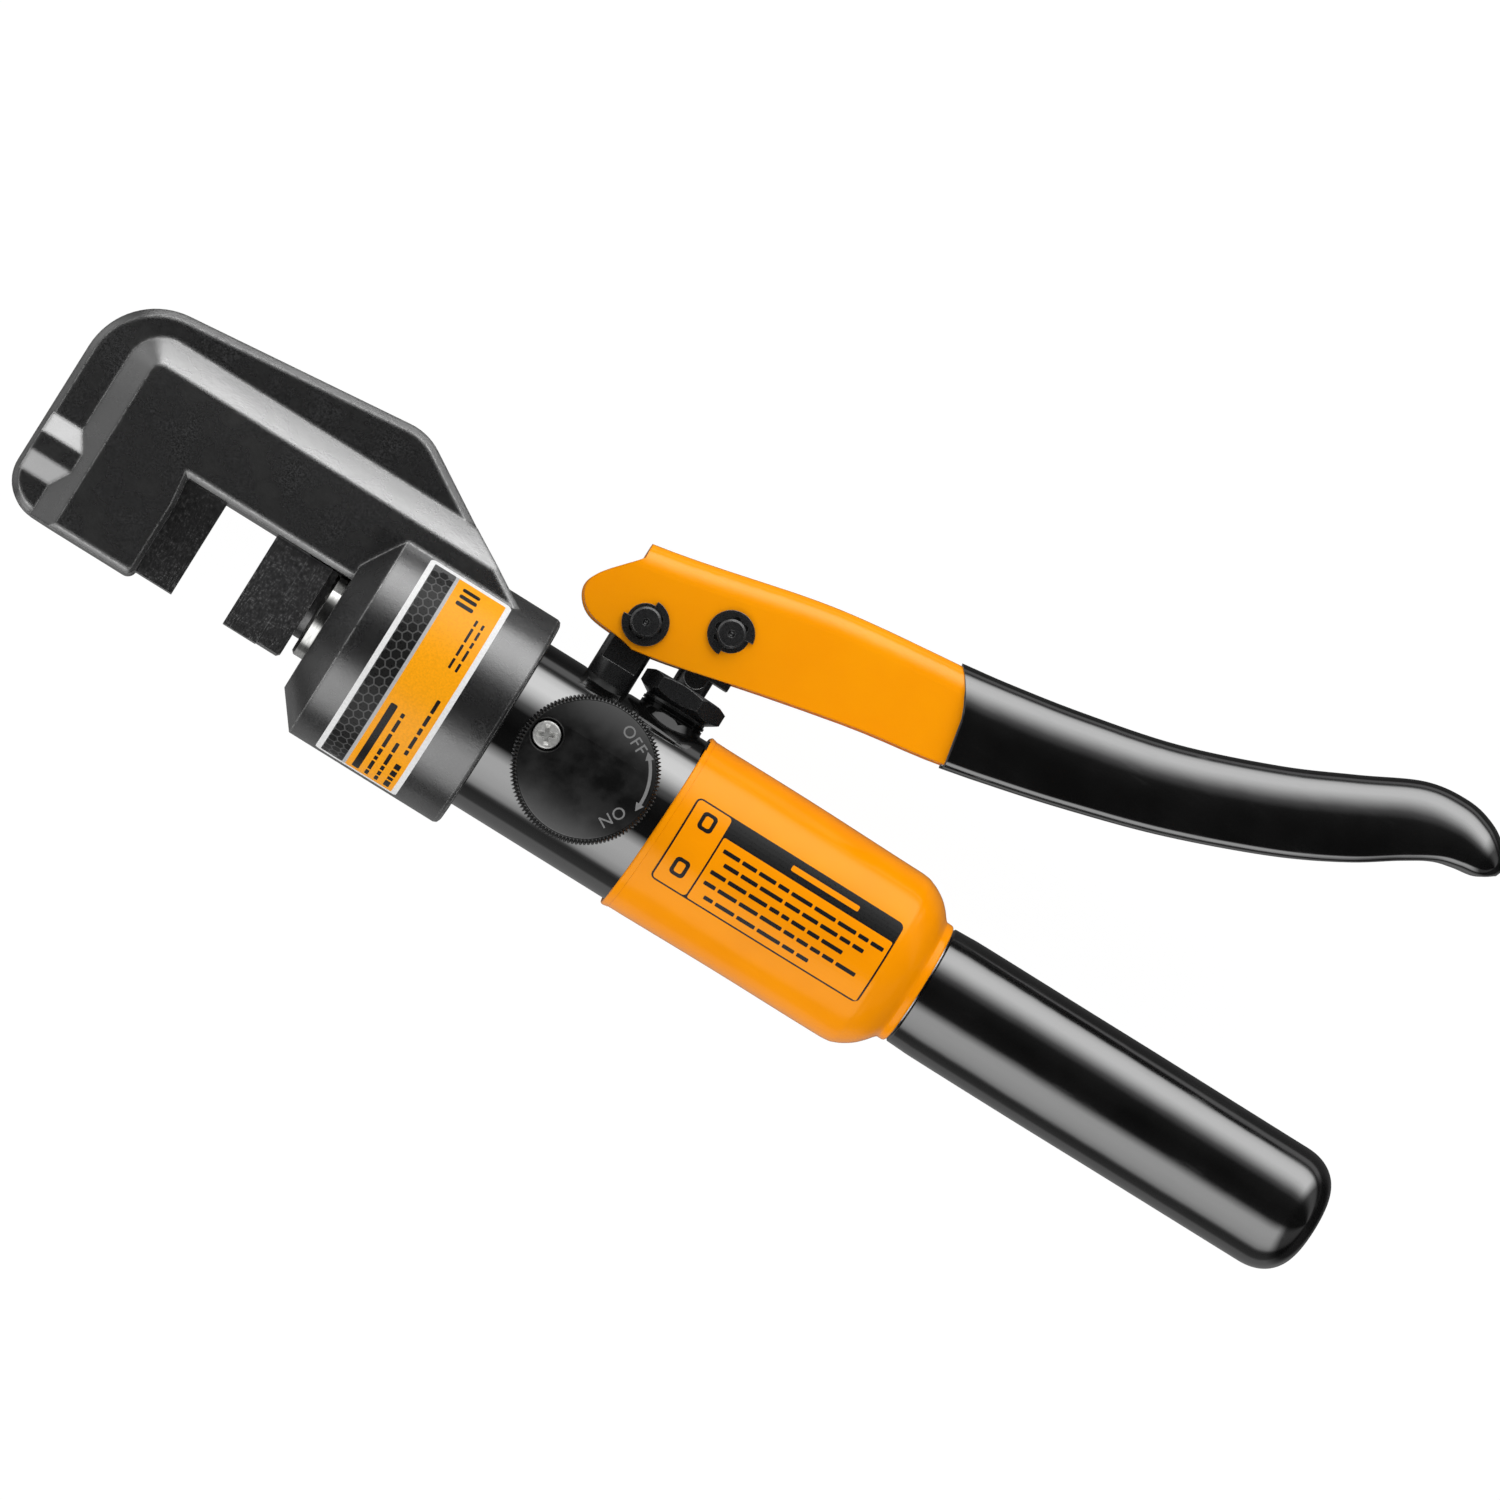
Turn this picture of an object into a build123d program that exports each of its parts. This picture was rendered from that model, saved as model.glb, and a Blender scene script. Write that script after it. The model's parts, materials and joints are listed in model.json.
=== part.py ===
"""Hand-operated hydraulic bar cutter, lying on its side with the release knob up.

Axes while modelling: X runs along the tool axis towards the rear handle, Y points to the
hand lever and Z points up through the release knob. The tool axis is Y = 0, Z = 0.
Before export everything is moved so that the origin is the bottom centre of the whole tool.
All sizes are in millimetres.
"""
from build123d import *
from math import atan2, cos, degrees, hypot, radians, sin, sqrt, tan
import os

# ---------------------------------------------------------------- driving dimensions
# Overall stations along the tool axis.
TIP_X = -164.3
JAW_FACE_X = -125.2
COLLAR_FRONT_X = -76.6
COLLAR_REAR_X = -25.3
SLEEVE_START_X = 20.8
SLEEVE_END_X = 100.7
HANDLE_END_X = 219.6

# Head: a C-shaped forging with a round collar.
COLLAR_R = 30.25
CONE_REAR_X = -69.6
COLLAR_FRONT_R = 21.2
WEB_HALF = 15.2
FLANGE_HALF = 9.0
PAD_HALF = 12.0
RIM_BEVEL = 1.8
WEB_BEVEL = 1.2
WEB_LEFT_X = -147.5
WEB_TOP_Y = 31.9
JAW_BOTTOM_Y = -18.3
ROOF_Y = 10.7
TOP_SLOPE = 6.0
BACK_SLOPE = 31.3
CREST_X = -79.6
CREST_Y = 52.9

# Blades and ram.
FIXED_EDGE_X = -113.6
MOVING_EDGE_X = -98.4
BLADE_JOINT_X = -88.7
HOLDER_REAR_X = -81.9
RAM_FRONT_X = -80.0
BLADE_TOP_Y = 10.35
BLADE_BOTTOM_Y = -15.8
BLADE_HALF = 12.6
SHEAR_GAP = 0.15
FIXED_SCREW_Y = -1.1
FIXED_SCREW_Z = -6.4
ROD_R = 12.8
PISTON_R = 16.0

# Pump body.
BODY_R = 23.9
SPIGOT_R = 22.0
SPIGOT_FRONT_X = -65.5
CHAMBER_END_X = -20.0
BODY_REAR_X = 26.0
BODY_SPIGOT_END_X = 36.0
NIPPLE_END_X = 44.0
VALVE_LINE_Y = -5.5
RELIEF_LINE_Z = -12.0
DRAIN_LINE_Z = 12.0

# Release knob and its valve stem.
KNOB_X = -1.6
KNOB_Y = 0.6
KNOB_R = 19.0
KNOB_BOTTOM_Z = 24.9
KNOB_TOP_Z = 36.0
STEM_R = 4.0

# Fulcrum post, plunger and gland nut.
POST_X = -7.55
POST_R = 6.15
POST_FLAT_Y = 28.2
TONGUE_HALF = 3.8
PLUNGER_X = 10.9
PLUNGER_R = 4.7
GLAND_ACROSS_FLATS = 20.3
GLAND_TURN = 8.0
GLAND_BOTTOM_Y = 26.7
GLAND_TOP_Y = 32.7
BOSS_TOP_Y = 26.0
CROSSHEAD_BOTTOM_Y = 37.2

# Hand lever.
PIVOT_X = POST_X
PIVOT_Y = 41.1
LINK_X = 12.5
LINK_Y = 50.1
PIVOT_PIN_R = 4.0
LINK_PIN_R = 3.75
PLATE = 3.0
LEVER_HALF = 7.2
LEVER_GAP_HALF = LEVER_HALF - PLATE
LEVER_DOWN = 12.5
LEVER_UP = 20.0
PLUNGER_RATIO = 19.3
LEVER_GRIP_HALF = 9.5
LEVER_GRIP_ROUND = 2.0
FOLD_R = 7.0
COAT_SLOT_HALF = 2.8

# Rear handle.
SLEEVE_INNER_R = 23.95
TUBE_R = 23.85
TUBE_INNER_R = 21.05
HANDLE_TUBE_R = 14.85
GRIP_START_R = 16.6
GRIP_R = 17.0

# Running and assembly clearances.
RUN = 0.05
FIT = 0.03

# Middle of the whole tool in plan, and the height of the tool axis above the ground.
PLAN_X = (TIP_X + HANDLE_END_X) / 2
PLAN_Y = 42.0
AXIS_Z = COLLAR_R


# ---------------------------------------------------------------- helpers
def rod_x(radius, x0, x1, y=0.0, z=0.0):
    """Round bar along X from x0 to x1."""
    return extrude(Plane(origin=(x0, y, z), z_dir=(1, 0, 0)) * Circle(radius), x1 - x0)


def rod_y(radius, y0, y1, x=0.0, z=0.0):
    """Round bar along Y from y0 to y1."""
    return extrude(Plane(origin=(x, y0, z), z_dir=(0, 1, 0)) * Circle(radius), y1 - y0)


def rod_z(radius, z0, z1, x=0.0, y=0.0):
    """Round bar along Z from z0 to z1."""
    return extrude(Plane(origin=(x, y, z0), z_dir=(0, 0, 1)) * Circle(radius), z1 - z0)


def block(x0, x1, y0, y1, z0, z1):
    """Box between two corners."""
    centre = ((x0 + x1) / 2, (y0 + y1) / 2, (z0 + z1) / 2)
    return Pos(*centre) * Box(x1 - x0, y1 - y0, z1 - z0)


def turned(*points):
    """Solid turned about the tool axis from (x, radius) points."""
    return revolve(make_face(Polyline(*points, close=True)), Axis.X)


def plate(face, half):
    """Prism of an XY face, as thick on both sides of Z = 0."""
    return extrude(face, half, both=True)


def bevelled_plate(face, half, bevel):
    """Prism of an XY face with both rims bevelled all round."""
    prism = plate(face, half)
    return chamfer(prism.edges().filter_by(lambda e: abs(abs(e.center().Z) - half) < 0.01), bevel)


def coil_spring(start, direction, length, coil_r, wire_r, turns):
    """Open coil spring whose wire centre line runs from start along direction."""
    path = Helix(pitch=length / turns, height=length, radius=coil_r)
    wire = sweep(Plane(origin=path @ 0, z_dir=path % 0) * Circle(wire_r), path=path, is_frenet=True)
    return Plane(origin=start, z_dir=direction) * wire


def ring_x(outer_r, inner_r, x0, x1, y=0.0, z=0.0):
    """Plain ring about an axis along X."""
    return rod_x(outer_r, x0, x1, y, z) - rod_x(inner_r, x0, x1, y, z)


def socket_x(across, depth, x_mouth, towards, y=0.0, z=0.0):
    """Hexagon socket cut into a face at x_mouth, going towards +X (1) or -X (-1)."""
    mouth = Plane(origin=(x_mouth, y, z), z_dir=(towards, 0, 0))
    return extrude(mouth * RegularPolygon(across / 2, 6, major_radius=False), depth)


# ---------------------------------------------------------------- head
def head_outline():
    """Outer line of the C-frame, from the tip round to the collar and back along the roof."""
    tip_top_y = CREST_Y + tan(radians(TOP_SLOPE)) * (TIP_X - CREST_X)
    inside_x = -32.0
    inside_y = CREST_Y - tan(radians(BACK_SLOPE)) * (inside_x - CREST_X)
    corners = [
        (TIP_X, JAW_BOTTOM_Y),
        (TIP_X, tip_top_y),
        (CREST_X, CREST_Y),
        (inside_x, inside_y),
        (inside_x, ROOF_Y),
        (JAW_FACE_X, ROOF_Y),
        (JAW_FACE_X + 1.0, ROOF_Y - 8.0),
        (JAW_FACE_X + 1.0, JAW_BOTTOM_Y),
    ]
    face = make_face(Polyline(*corners, close=True))
    rounds = {0: 10.5, 1: 20.0, 2: 15.0, 7: 2.5}
    for index, radius in rounds.items():
        corner = face.vertices().sort_by_distance((*corners[index], 0))[0]
        face = fillet(corner, radius)
    return face


def cutter_head():
    outline = head_outline()
    rim = bevelled_plate(outline, FLANGE_HALF, RIM_BEVEL)

    # The web stands proud of the rim plate on both sides, with a sloping band round it.
    rise = WEB_HALF - FLANGE_HALF
    run = 6.8
    foot = Pos((WEB_LEFT_X - run - 10) / 2, (WEB_TOP_Y + run - 60) / 2) * Rectangle(
        -10 - (WEB_LEFT_X - run), WEB_TOP_Y + run + 60
    )
    foot_corner = foot.vertices().sort_by_distance((WEB_LEFT_X - run, WEB_TOP_Y + run, 0))[0]
    foot = fillet(foot_corner, 9.5)
    slope = degrees(atan2(run, rise))
    band = extrude(Pos(0, 0, FLANGE_HALF) * foot, rise, taper=slope)
    core = extrude(foot, FLANGE_HALF)
    web = core + band
    web = web + mirror(web, Plane.XY)
    web = web & bevelled_plate(outline, WEB_HALF, WEB_BEVEL)

    # Raised pads beside the blade screw at the tip.
    pad_y = -1.1
    pad_profile = Polyline(
        (pad_y - 8.1, 0), (pad_y + 8.1, 0), (pad_y + 8.1, FLANGE_HALF), (pad_y + 2.7, PAD_HALF),
        (pad_y - 2.7, PAD_HALF), (pad_y - 8.1, FLANGE_HALF), close=True,
    )
    pad_plane = Plane(origin=(TIP_X + 1.3, 0, 0), x_dir=(0, 1, 0), z_dir=(1, 0, 0))
    pad = extrude(pad_plane * make_face(pad_profile), 14.0)
    pads = pad + mirror(pad, Plane.XY)

    collar = turned(
        (COLLAR_FRONT_X, 0), (COLLAR_FRONT_X, COLLAR_FRONT_R), (CONE_REAR_X, COLLAR_R),
        (COLLAR_REAR_X - 1.3, COLLAR_R), (COLLAR_REAR_X - 0.4, COLLAR_R - 0.4),
        (COLLAR_REAR_X, COLLAR_R - 1.3), (COLLAR_REAR_X, 0),
    )
    head = rim + web + pads + collar

    # Bore for the rod, its bush and wiper, and the thread for the pump body.
    head -= rod_x(ROD_R + 0.4, -98.5, COLLAR_FRONT_X + 1.2)
    head -= rod_x(15.0, COLLAR_FRONT_X + 1.2, -66.0)
    head -= rod_x(SPIGOT_R + FIT, -66.0, COLLAR_REAR_X)

    # Counterbored hole for the fixed blade's screw, in from the tip.
    head -= rod_x(5.4, TIP_X - 1, -156.0, FIXED_SCREW_Y, FIXED_SCREW_Z)
    head -= rod_x(3.2, -157.0, JAW_FACE_X + 2, FIXED_SCREW_Y, FIXED_SCREW_Z)
    # Seat for the fixed blade, flush with the jaw face.
    head -= block(JAW_FACE_X, FIXED_EDGE_X, -40, ROOF_Y, -BLADE_HALF - 0.1, 0)
    return head


def fixed_blade():
    blade = block(JAW_FACE_X, FIXED_EDGE_X, BLADE_BOTTOM_Y - 0.3, ROOF_Y - FIT, -BLADE_HALF, -SHEAR_GAP)
    return blade - rod_x(3.0 + FIT, JAW_FACE_X, FIXED_EDGE_X - 3, FIXED_SCREW_Y, FIXED_SCREW_Z)


def fixed_blade_screw():
    head = rod_x(5.0, -162.4, -156.0, FIXED_SCREW_Y, FIXED_SCREW_Z)
    shank = rod_x(3.0, -156.0, FIXED_EDGE_X - 4, FIXED_SCREW_Y, FIXED_SCREW_Z)
    return head + shank - socket_x(5.0, 3.2, -162.4, 1, FIXED_SCREW_Y, FIXED_SCREW_Z)


# ---------------------------------------------------------------- ram and moving blade
HOLDER_SCREW_R = 4.0
BLADE_SCREW_Z = 6.3
BLADE_SCREW_YS = (6.4, -10.5)


def ram():
    rod = rod_x(ROD_R, RAM_FRONT_X, -29.0)
    piston = rod_x(PISTON_R - RUN, -29.0, CHAMBER_END_X - 0.5)
    groove = ring_x(PISTON_R + 1, 13.0, -27.0, -22.5)
    screw_hole = rod_x(HOLDER_SCREW_R + FIT, RAM_FRONT_X, -64.0)
    return chamfer((rod + piston).edges().group_by(Axis.X)[0], 0.8) - groove - screw_hole


def piston_seal():
    return ring_x(PISTON_R - 0.02, 13.02, -25.4, -22.6)


def piston_backup_ring():
    return ring_x(PISTON_R - 0.03, 13.02, -26.9, -25.45)


def blade_holder():
    body = block(BLADE_JOINT_X, HOLDER_REAR_X, BLADE_BOTTOM_Y + 0.5, BLADE_TOP_Y, -BLADE_HALF, BLADE_HALF)
    low_rear = body.edges().filter_by(Axis.Z).group_by(Axis.X)[-1].group_by(Axis.Y)[0]
    body = chamfer(low_rear, 0.8)
    body += rod_x(8.8, HOLDER_REAR_X, RAM_FRONT_X)
    body += block(HOLDER_REAR_X - 0.5, RAM_FRONT_X, 0.0, BLADE_TOP_Y, -8.8, 8.8)
    body -= rod_x(6.6, BLADE_JOINT_X, BLADE_JOINT_X + 4.4)
    body -= rod_x(HOLDER_SCREW_R + 0.1, BLADE_JOINT_X, RAM_FRONT_X)
    for y in BLADE_SCREW_YS:
        body -= rod_x(2.0 + FIT, BLADE_JOINT_X, -82.6, y, BLADE_SCREW_Z)
    return body


def holder_screw():
    head = rod_x(6.5, BLADE_JOINT_X + 0.2, BLADE_JOINT_X + 4.4)
    shank = rod_x(HOLDER_SCREW_R, BLADE_JOINT_X + 4.4, -65.0)
    return head + shank - socket_x(6.0, 2.8, BLADE_JOINT_X + 0.2, 1)


def moving_blade():
    blade = block(MOVING_EDGE_X, BLADE_JOINT_X, BLADE_BOTTOM_Y, BLADE_TOP_Y, SHEAR_GAP, BLADE_HALF)
    for y in BLADE_SCREW_YS:
        blade -= rod_x(2.1, MOVING_EDGE_X, BLADE_JOINT_X, y, BLADE_SCREW_Z)
        blade -= rod_x(3.7, MOVING_EDGE_X, MOVING_EDGE_X + 4.2, y, BLADE_SCREW_Z)
    return blade


def moving_blade_screws():
    screws = []
    for y in BLADE_SCREW_YS:
        head = rod_x(3.5, MOVING_EDGE_X + 0.3, MOVING_EDGE_X + 4.2, y, BLADE_SCREW_Z)
        shank = rod_x(2.0, MOVING_EDGE_X + 4.2, -83.0, y, BLADE_SCREW_Z)
        screws.append(head + shank - socket_x(3.0, 2.2, MOVING_EDGE_X + 0.3, 1, y, BLADE_SCREW_Z))
    return Compound(children=screws)


def rod_guide_bush():
    return ring_x(15.0 - FIT, ROD_R + RUN, -71.8, -66.1)


def rod_wiper():
    return ring_x(15.0 - FIT, ROD_R + RUN, COLLAR_FRONT_X + 1.25, -72.0)


def return_spring():
    return coil_spring((-64.2, 0, 0), (1, 0, 0), 33.9, 14.45, 1.1, 6.5)


# ---------------------------------------------------------------- pump body and its valves
def boss_saddle():
    """Boss round the gland, with a small flare where it meets the body."""
    boss = rod_y(8.9, 10.0, BOSS_TOP_Y, PLUNGER_X)
    flare = extrude(Plane(origin=(PLUNGER_X, 20.4, 0), z_dir=(0, 1, 0)) * Circle(11.4), 3.6, taper=34)
    grooves = rod_y(9.5, 24.9, 25.3, PLUNGER_X) - rod_y(8.5, 24.9, 25.3, PLUNGER_X)
    return boss + flare - grooves


def pump_body():
    body = turned(
        (SPIGOT_FRONT_X, 0), (SPIGOT_FRONT_X, SPIGOT_R), (COLLAR_REAR_X, SPIGOT_R),
        (COLLAR_REAR_X, BODY_R), (BODY_REAR_X, BODY_R), (BODY_REAR_X, 21.0),
        (BODY_SPIGOT_END_X, 21.0), (BODY_SPIGOT_END_X, 17.5), (NIPPLE_END_X, 17.5), (NIPPLE_END_X, 0),
    )
    body += boss_saddle()
    body -= rod_x(PISTON_R, SPIGOT_FRONT_X, CHAMBER_END_X)
    body -= ring_x(SPIGOT_R + 1, 20.2, -63.4, -61.4)

    # Post: spot face and threaded hole.
    body -= rod_y(POST_R + 0.9, 23.0, 26.0, POST_X)
    body -= rod_y(5.0 + FIT, 11.5, 26.0, POST_X)

    # Plunger: chamber, seal pocket and gland thread.
    body -= rod_y(PLUNGER_R + RUN, -8.0, 12.0, PLUNGER_X)
    body -= rod_y(7.0 + FIT, 10.0, BOSS_TOP_Y, PLUNGER_X)

    # Delivery valve: from the plunger chamber forward to the ram chamber.
    body -= rod_x(1.2, 4.0, 8.0, VALVE_LINE_Y)
    body -= rod_x(2.5, CHAMBER_END_X - 1, 4.2, VALVE_LINE_Y)
    # Suction valve: from the reservoir forward to the plunger chamber.
    body -= rod_x(1.5, 14.0, 18.0, VALVE_LINE_Y)
    body -= rod_x(3.0, 17.5, NIPPLE_END_X, VALVE_LINE_Y)
    # Relief valve: from the ram chamber back to the reservoir.
    body -= rod_x(1.0, CHAMBER_END_X - 1, 4.5, 0, RELIEF_LINE_Z)
    body -= rod_x(3.2, 4.0, NIPPLE_END_X, 0, RELIEF_LINE_Z)

    # Release valve: pressure gallery, seat, stem bore and drain.
    body -= rod_x(1.2, CHAMBER_END_X - 1, KNOB_X + 1.2, KNOB_Y)
    body -= rod_z(1.0, 0, 5.5, KNOB_X, KNOB_Y)
    body -= rod_z(2.2, 5.0, 8.0, KNOB_X, KNOB_Y)
    body -= rod_z(STEM_R + RUN, 7.5, 26.0, KNOB_X, KNOB_Y)
    body -= rod_x(1.2, KNOB_X, NIPPLE_END_X, KNOB_Y, DRAIN_LINE_Z)
    return body


def body_o_ring():
    return Plane(origin=(-62.4, 0, 0), z_dir=(1, 0, 0)) * Torus(21.08, 0.87)


def fulcrum_post():
    shank = rod_y(5.0, 12.0, 23.0, POST_X)
    post = rod_y(POST_R, 23.0, PIVOT_Y + 8.0, POST_X)
    crown = plate(Pos(PIVOT_X, PIVOT_Y) * Circle(8.0), TONGUE_HALF) + block(
        POST_X - POST_R, POST_X + POST_R, 20, PIVOT_Y, -POST_R, POST_R
    )
    post = post & crown
    for side in (-1, 1):
        flat = block(POST_X - 10, POST_X + 10, POST_FLAT_Y, PIVOT_Y + 12, TONGUE_HALF, TONGUE_HALF + 6)
        post -= flat if side > 0 else mirror(flat, Plane.XY)
    post -= rod_z(PIVOT_PIN_R + 0.04, -8, 8, PIVOT_X, PIVOT_Y)
    return shank + post


def gland_nut():
    turn = radians(GLAND_TURN)
    foot = Plane(origin=(PLUNGER_X, GLAND_BOTTOM_Y, 0), x_dir=(cos(turn), 0, sin(turn)), z_dir=(0, 1, 0))
    hexagon = RegularPolygon(GLAND_ACROSS_FLATS / 2, 6, major_radius=False)
    prism = extrude(foot * hexagon, GLAND_TOP_Y - GLAND_BOTTOM_Y)
    corner_r = GLAND_ACROSS_FLATS / sqrt(3)
    bevel_r = GLAND_ACROSS_FLATS / 2 - 0.4
    bevel = Polyline(
        (0, GLAND_BOTTOM_Y), (bevel_r - 1.2, GLAND_BOTTOM_Y), (corner_r, GLAND_BOTTOM_Y + 2.0),
        (corner_r, GLAND_TOP_Y - 0.9), (bevel_r, GLAND_TOP_Y), (0, GLAND_TOP_Y), close=True,
    )
    prism = prism & (Pos(PLUNGER_X, 0, 0) * revolve(make_face(bevel), Axis.Y))
    shank = rod_y(7.0, 15.0, GLAND_BOTTOM_Y, PLUNGER_X)
    return prism + shank - rod_y(PLUNGER_R + RUN, 10, 40, PLUNGER_X)


def gland_washer():
    washer = rod_y(8.6, BOSS_TOP_Y, GLAND_BOTTOM_Y, PLUNGER_X)
    return washer - rod_y(7.0 + FIT, BOSS_TOP_Y, GLAND_BOTTOM_Y, PLUNGER_X)


def plunger_seal():
    return rod_y(7.0, 10.0, 13.9, PLUNGER_X) - rod_y(PLUNGER_R + RUN, 10.0, 13.9, PLUNGER_X)


def plunger_backup_ring():
    return rod_y(7.0, 13.95, 14.95, PLUNGER_X) - rod_y(PLUNGER_R + RUN, 13.95, 14.95, PLUNGER_X)


CHECK_BALL_R = 2.2
DELIVERY_BALL_X = 4.2 - sqrt(CHECK_BALL_R**2 - 1.2**2) - 0.02
SUCTION_SEAT_X = 25.0
SUCTION_BALL_X = SUCTION_SEAT_X - sqrt(CHECK_BALL_R**2 - 1.2**2) - 0.02
RELIEF_BALL_X = 4.0 + sqrt(CHECK_BALL_R**2 - 1.0) + 0.02
RELEASE_BALL_R = 2.0
RELEASE_BALL_Z = 5.0 + sqrt(RELEASE_BALL_R**2 - 1.0) + 0.02


def delivery_ball():
    return Pos(DELIVERY_BALL_X, VALVE_LINE_Y, 0) * Sphere(CHECK_BALL_R)


def delivery_spring():
    return coil_spring((DELIVERY_BALL_X - 2.6, VALVE_LINE_Y, 0), (-1, 0, 0), 8.0, 1.75, 0.3, 5)


def delivery_spring_seat():
    return ring_x(2.5 - FIT, 1.2, -12.5, -9.2, VALVE_LINE_Y)


def suction_ball():
    return Pos(SUCTION_BALL_X, VALVE_LINE_Y, 0) * Sphere(CHECK_BALL_R)


def suction_spring():
    return coil_spring((17.9, VALVE_LINE_Y, 0), (1, 0, 0), 2.6, 2.2, 0.25, 2.5)


def suction_seat():
    return ring_x(3.0 - FIT, 1.2, SUCTION_SEAT_X, 31.0, VALVE_LINE_Y)


def suction_tube():
    return ring_x(3.0 - FIT, 1.9, 31.0, 60.0, VALVE_LINE_Y)


def suction_filter():
    cup = rod_x(5.2, 56.0, 66.0, VALVE_LINE_Y)
    return cup - rod_x(4.4, 57.0, 65.2, VALVE_LINE_Y) - rod_x(3.0, 55.0, 58.0, VALVE_LINE_Y)


def relief_ball():
    return Pos(RELIEF_BALL_X, 0, RELIEF_LINE_Z) * Sphere(CHECK_BALL_R)


def relief_spring():
    return coil_spring((RELIEF_BALL_X + 2.75, 0, RELIEF_LINE_Z), (1, 0, 0), 12.0, 2.3, 0.5, 7)


def relief_screw():
    screw = rod_x(3.2 - FIT, 21.6, 31.0, 0, RELIEF_LINE_Z)
    screw -= rod_x(0.9, 21.6, 31.0, 0, RELIEF_LINE_Z)
    return screw - socket_x(3.0, 3.0, 31.0, -1, 0, RELIEF_LINE_Z)


def release_ball():
    return Pos(KNOB_X, KNOB_Y, RELEASE_BALL_Z) * Sphere(RELEASE_BALL_R)


# ---------------------------------------------------------------- release knob
KNOB_SCREW_X = KNOB_X - 13.0
KNOB_SCREW_Y = KNOB_Y + 2.2
FLANGE_TOP_Z = 27.6


def release_knob():
    knob = rod_z(KNOB_R, KNOB_BOTTOM_Z, KNOB_TOP_Z, KNOB_X, KNOB_Y)
    knob = chamfer(knob.edges().filter_by(GeomType.CIRCLE), 0.9)
    knob -= rod_z(16.05, KNOB_BOTTOM_Z, FLANGE_TOP_Z, KNOB_X, KNOB_Y)
    knob -= rod_z(4.1, 33.0, KNOB_TOP_Z, KNOB_SCREW_X, KNOB_SCREW_Y)
    return knob - rod_z(2.1, FLANGE_TOP_Z, 33.0, KNOB_SCREW_X, KNOB_SCREW_Y)


def knob_screw():
    head = rod_z(3.6, 33.0, 35.6, KNOB_SCREW_X, KNOB_SCREW_Y)
    shank = rod_z(2.0, 25.2, 33.0, KNOB_SCREW_X, KNOB_SCREW_Y)
    key = Pos(KNOB_SCREW_X, KNOB_SCREW_Y, 34.6) * Box(4.0, 1.1, 2.0)
    return head + shank - key - Pos(KNOB_SCREW_X, KNOB_SCREW_Y, 34.6) * Box(1.1, 4.0, 2.0)


def valve_stem():
    flange = rod_z(16.0, KNOB_BOTTOM_Z - 0.3, FLANGE_TOP_Z, KNOB_X, KNOB_Y)
    stem = rod_z(STEM_R, 14.0, KNOB_BOTTOM_Z, KNOB_X, KNOB_Y)
    tip = rod_z(2.9, RELEASE_BALL_Z + RELEASE_BALL_R + 0.05, 14.0, KNOB_X, KNOB_Y)
    groove = rod_z(STEM_R + 1, 18.0, 19.8, KNOB_X, KNOB_Y) - rod_z(2.6, 18.0, 19.8, KNOB_X, KNOB_Y)
    return flange + stem + tip - groove - rod_z(2.0 + FIT, 24.0, 28.0, KNOB_SCREW_X, KNOB_SCREW_Y)


def stem_o_ring():
    return Pos(KNOB_X, KNOB_Y, 18.9) * Torus(3.32, 0.68)


# ---------------------------------------------------------------- plunger and hand lever
def link_height(angle):
    """Rise of the link pin above its rest height when the lever has turned by angle degrees."""
    arm = hypot(LINK_X - PIVOT_X, LINK_Y - PIVOT_Y)
    start = atan2(LINK_Y - PIVOT_Y, LINK_X - PIVOT_X)
    return arm * (sin(start + radians(angle)) - sin(start))


def link_advance(angle):
    """Movement of the link pin along X from its rest place when the lever has turned by angle."""
    arm = hypot(LINK_X - PIVOT_X, LINK_Y - PIVOT_Y)
    start = atan2(LINK_Y - PIVOT_Y, LINK_X - PIVOT_X)
    return arm * (cos(start + radians(angle)) - cos(start))


def pump_plunger():
    # The slot is as tall as the pin's arc strays from the plunger's straight travel.
    strays = [link_height(a) - PLUNGER_RATIO * radians(a) for a in range(-13, 21)]
    slot_low = LINK_Y - LINK_PIN_R - 0.1 + min(strays)
    slot_high = LINK_Y + LINK_PIN_R + 0.1 + max(strays)
    slot_left = LINK_X + link_advance(LEVER_UP) - LINK_PIN_R - 0.25
    slot_right = LINK_X + link_advance(-LEVER_DOWN) + LINK_PIN_R + 0.25
    head_left = slot_left - 2.2
    head_right = 19.6
    head_top = slot_high + 3.0
    head = block(head_left, head_right, CROSSHEAD_BOTTOM_Y, head_top, -TONGUE_HALF + 0.1, TONGUE_HALF - 0.1)
    head = fillet(head.edges().filter_by(Axis.Z).group_by(Axis.Y)[-1], 4.0)
    slot_centre = Pos((slot_left + slot_right) / 2, (slot_low + slot_high) / 2)
    slot = slot_centre * SlotOverall(slot_right - slot_left, slot_high - slot_low)
    head -= plate(slot, 10)

    stem = rod_y(PLUNGER_R, 0.8, CROSSHEAD_BOTTOM_Y, PLUNGER_X)
    stem = chamfer(stem.edges().group_by(Axis.Y)[0], 0.5)
    # Milled flats with half-round ends lead into the crosshead.
    flat = Pos(PLUNGER_X, 38.0) * SlotOverall(9.6, 6.2, rotation=90)
    cut = extrude(Plane.XY.offset(TONGUE_HALF - 0.1) * flat, 3)
    stem -= cut
    stem -= mirror(cut, Plane.XY)
    return stem + head


CHANNEL_TOP = [
    (-16.3, 59.4), (10, 65.3), (32, 70.3), (48, 72.6), (66, 74.6), (95, 78.0), (125, 84.2), (150, 93.2),
    (175, 104.8), (192, 110.3),
]
CHANNEL_BOTTOM = [
    (-7.0, 33.4), (5, 35.7), (20, 39.4), (40, 44.0), (57, 47.4), (76, 50.5), (100, 57.6), (125, 64.4),
    (150, 73.2), (175, 84.5), (192, 94.6),
]


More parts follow.
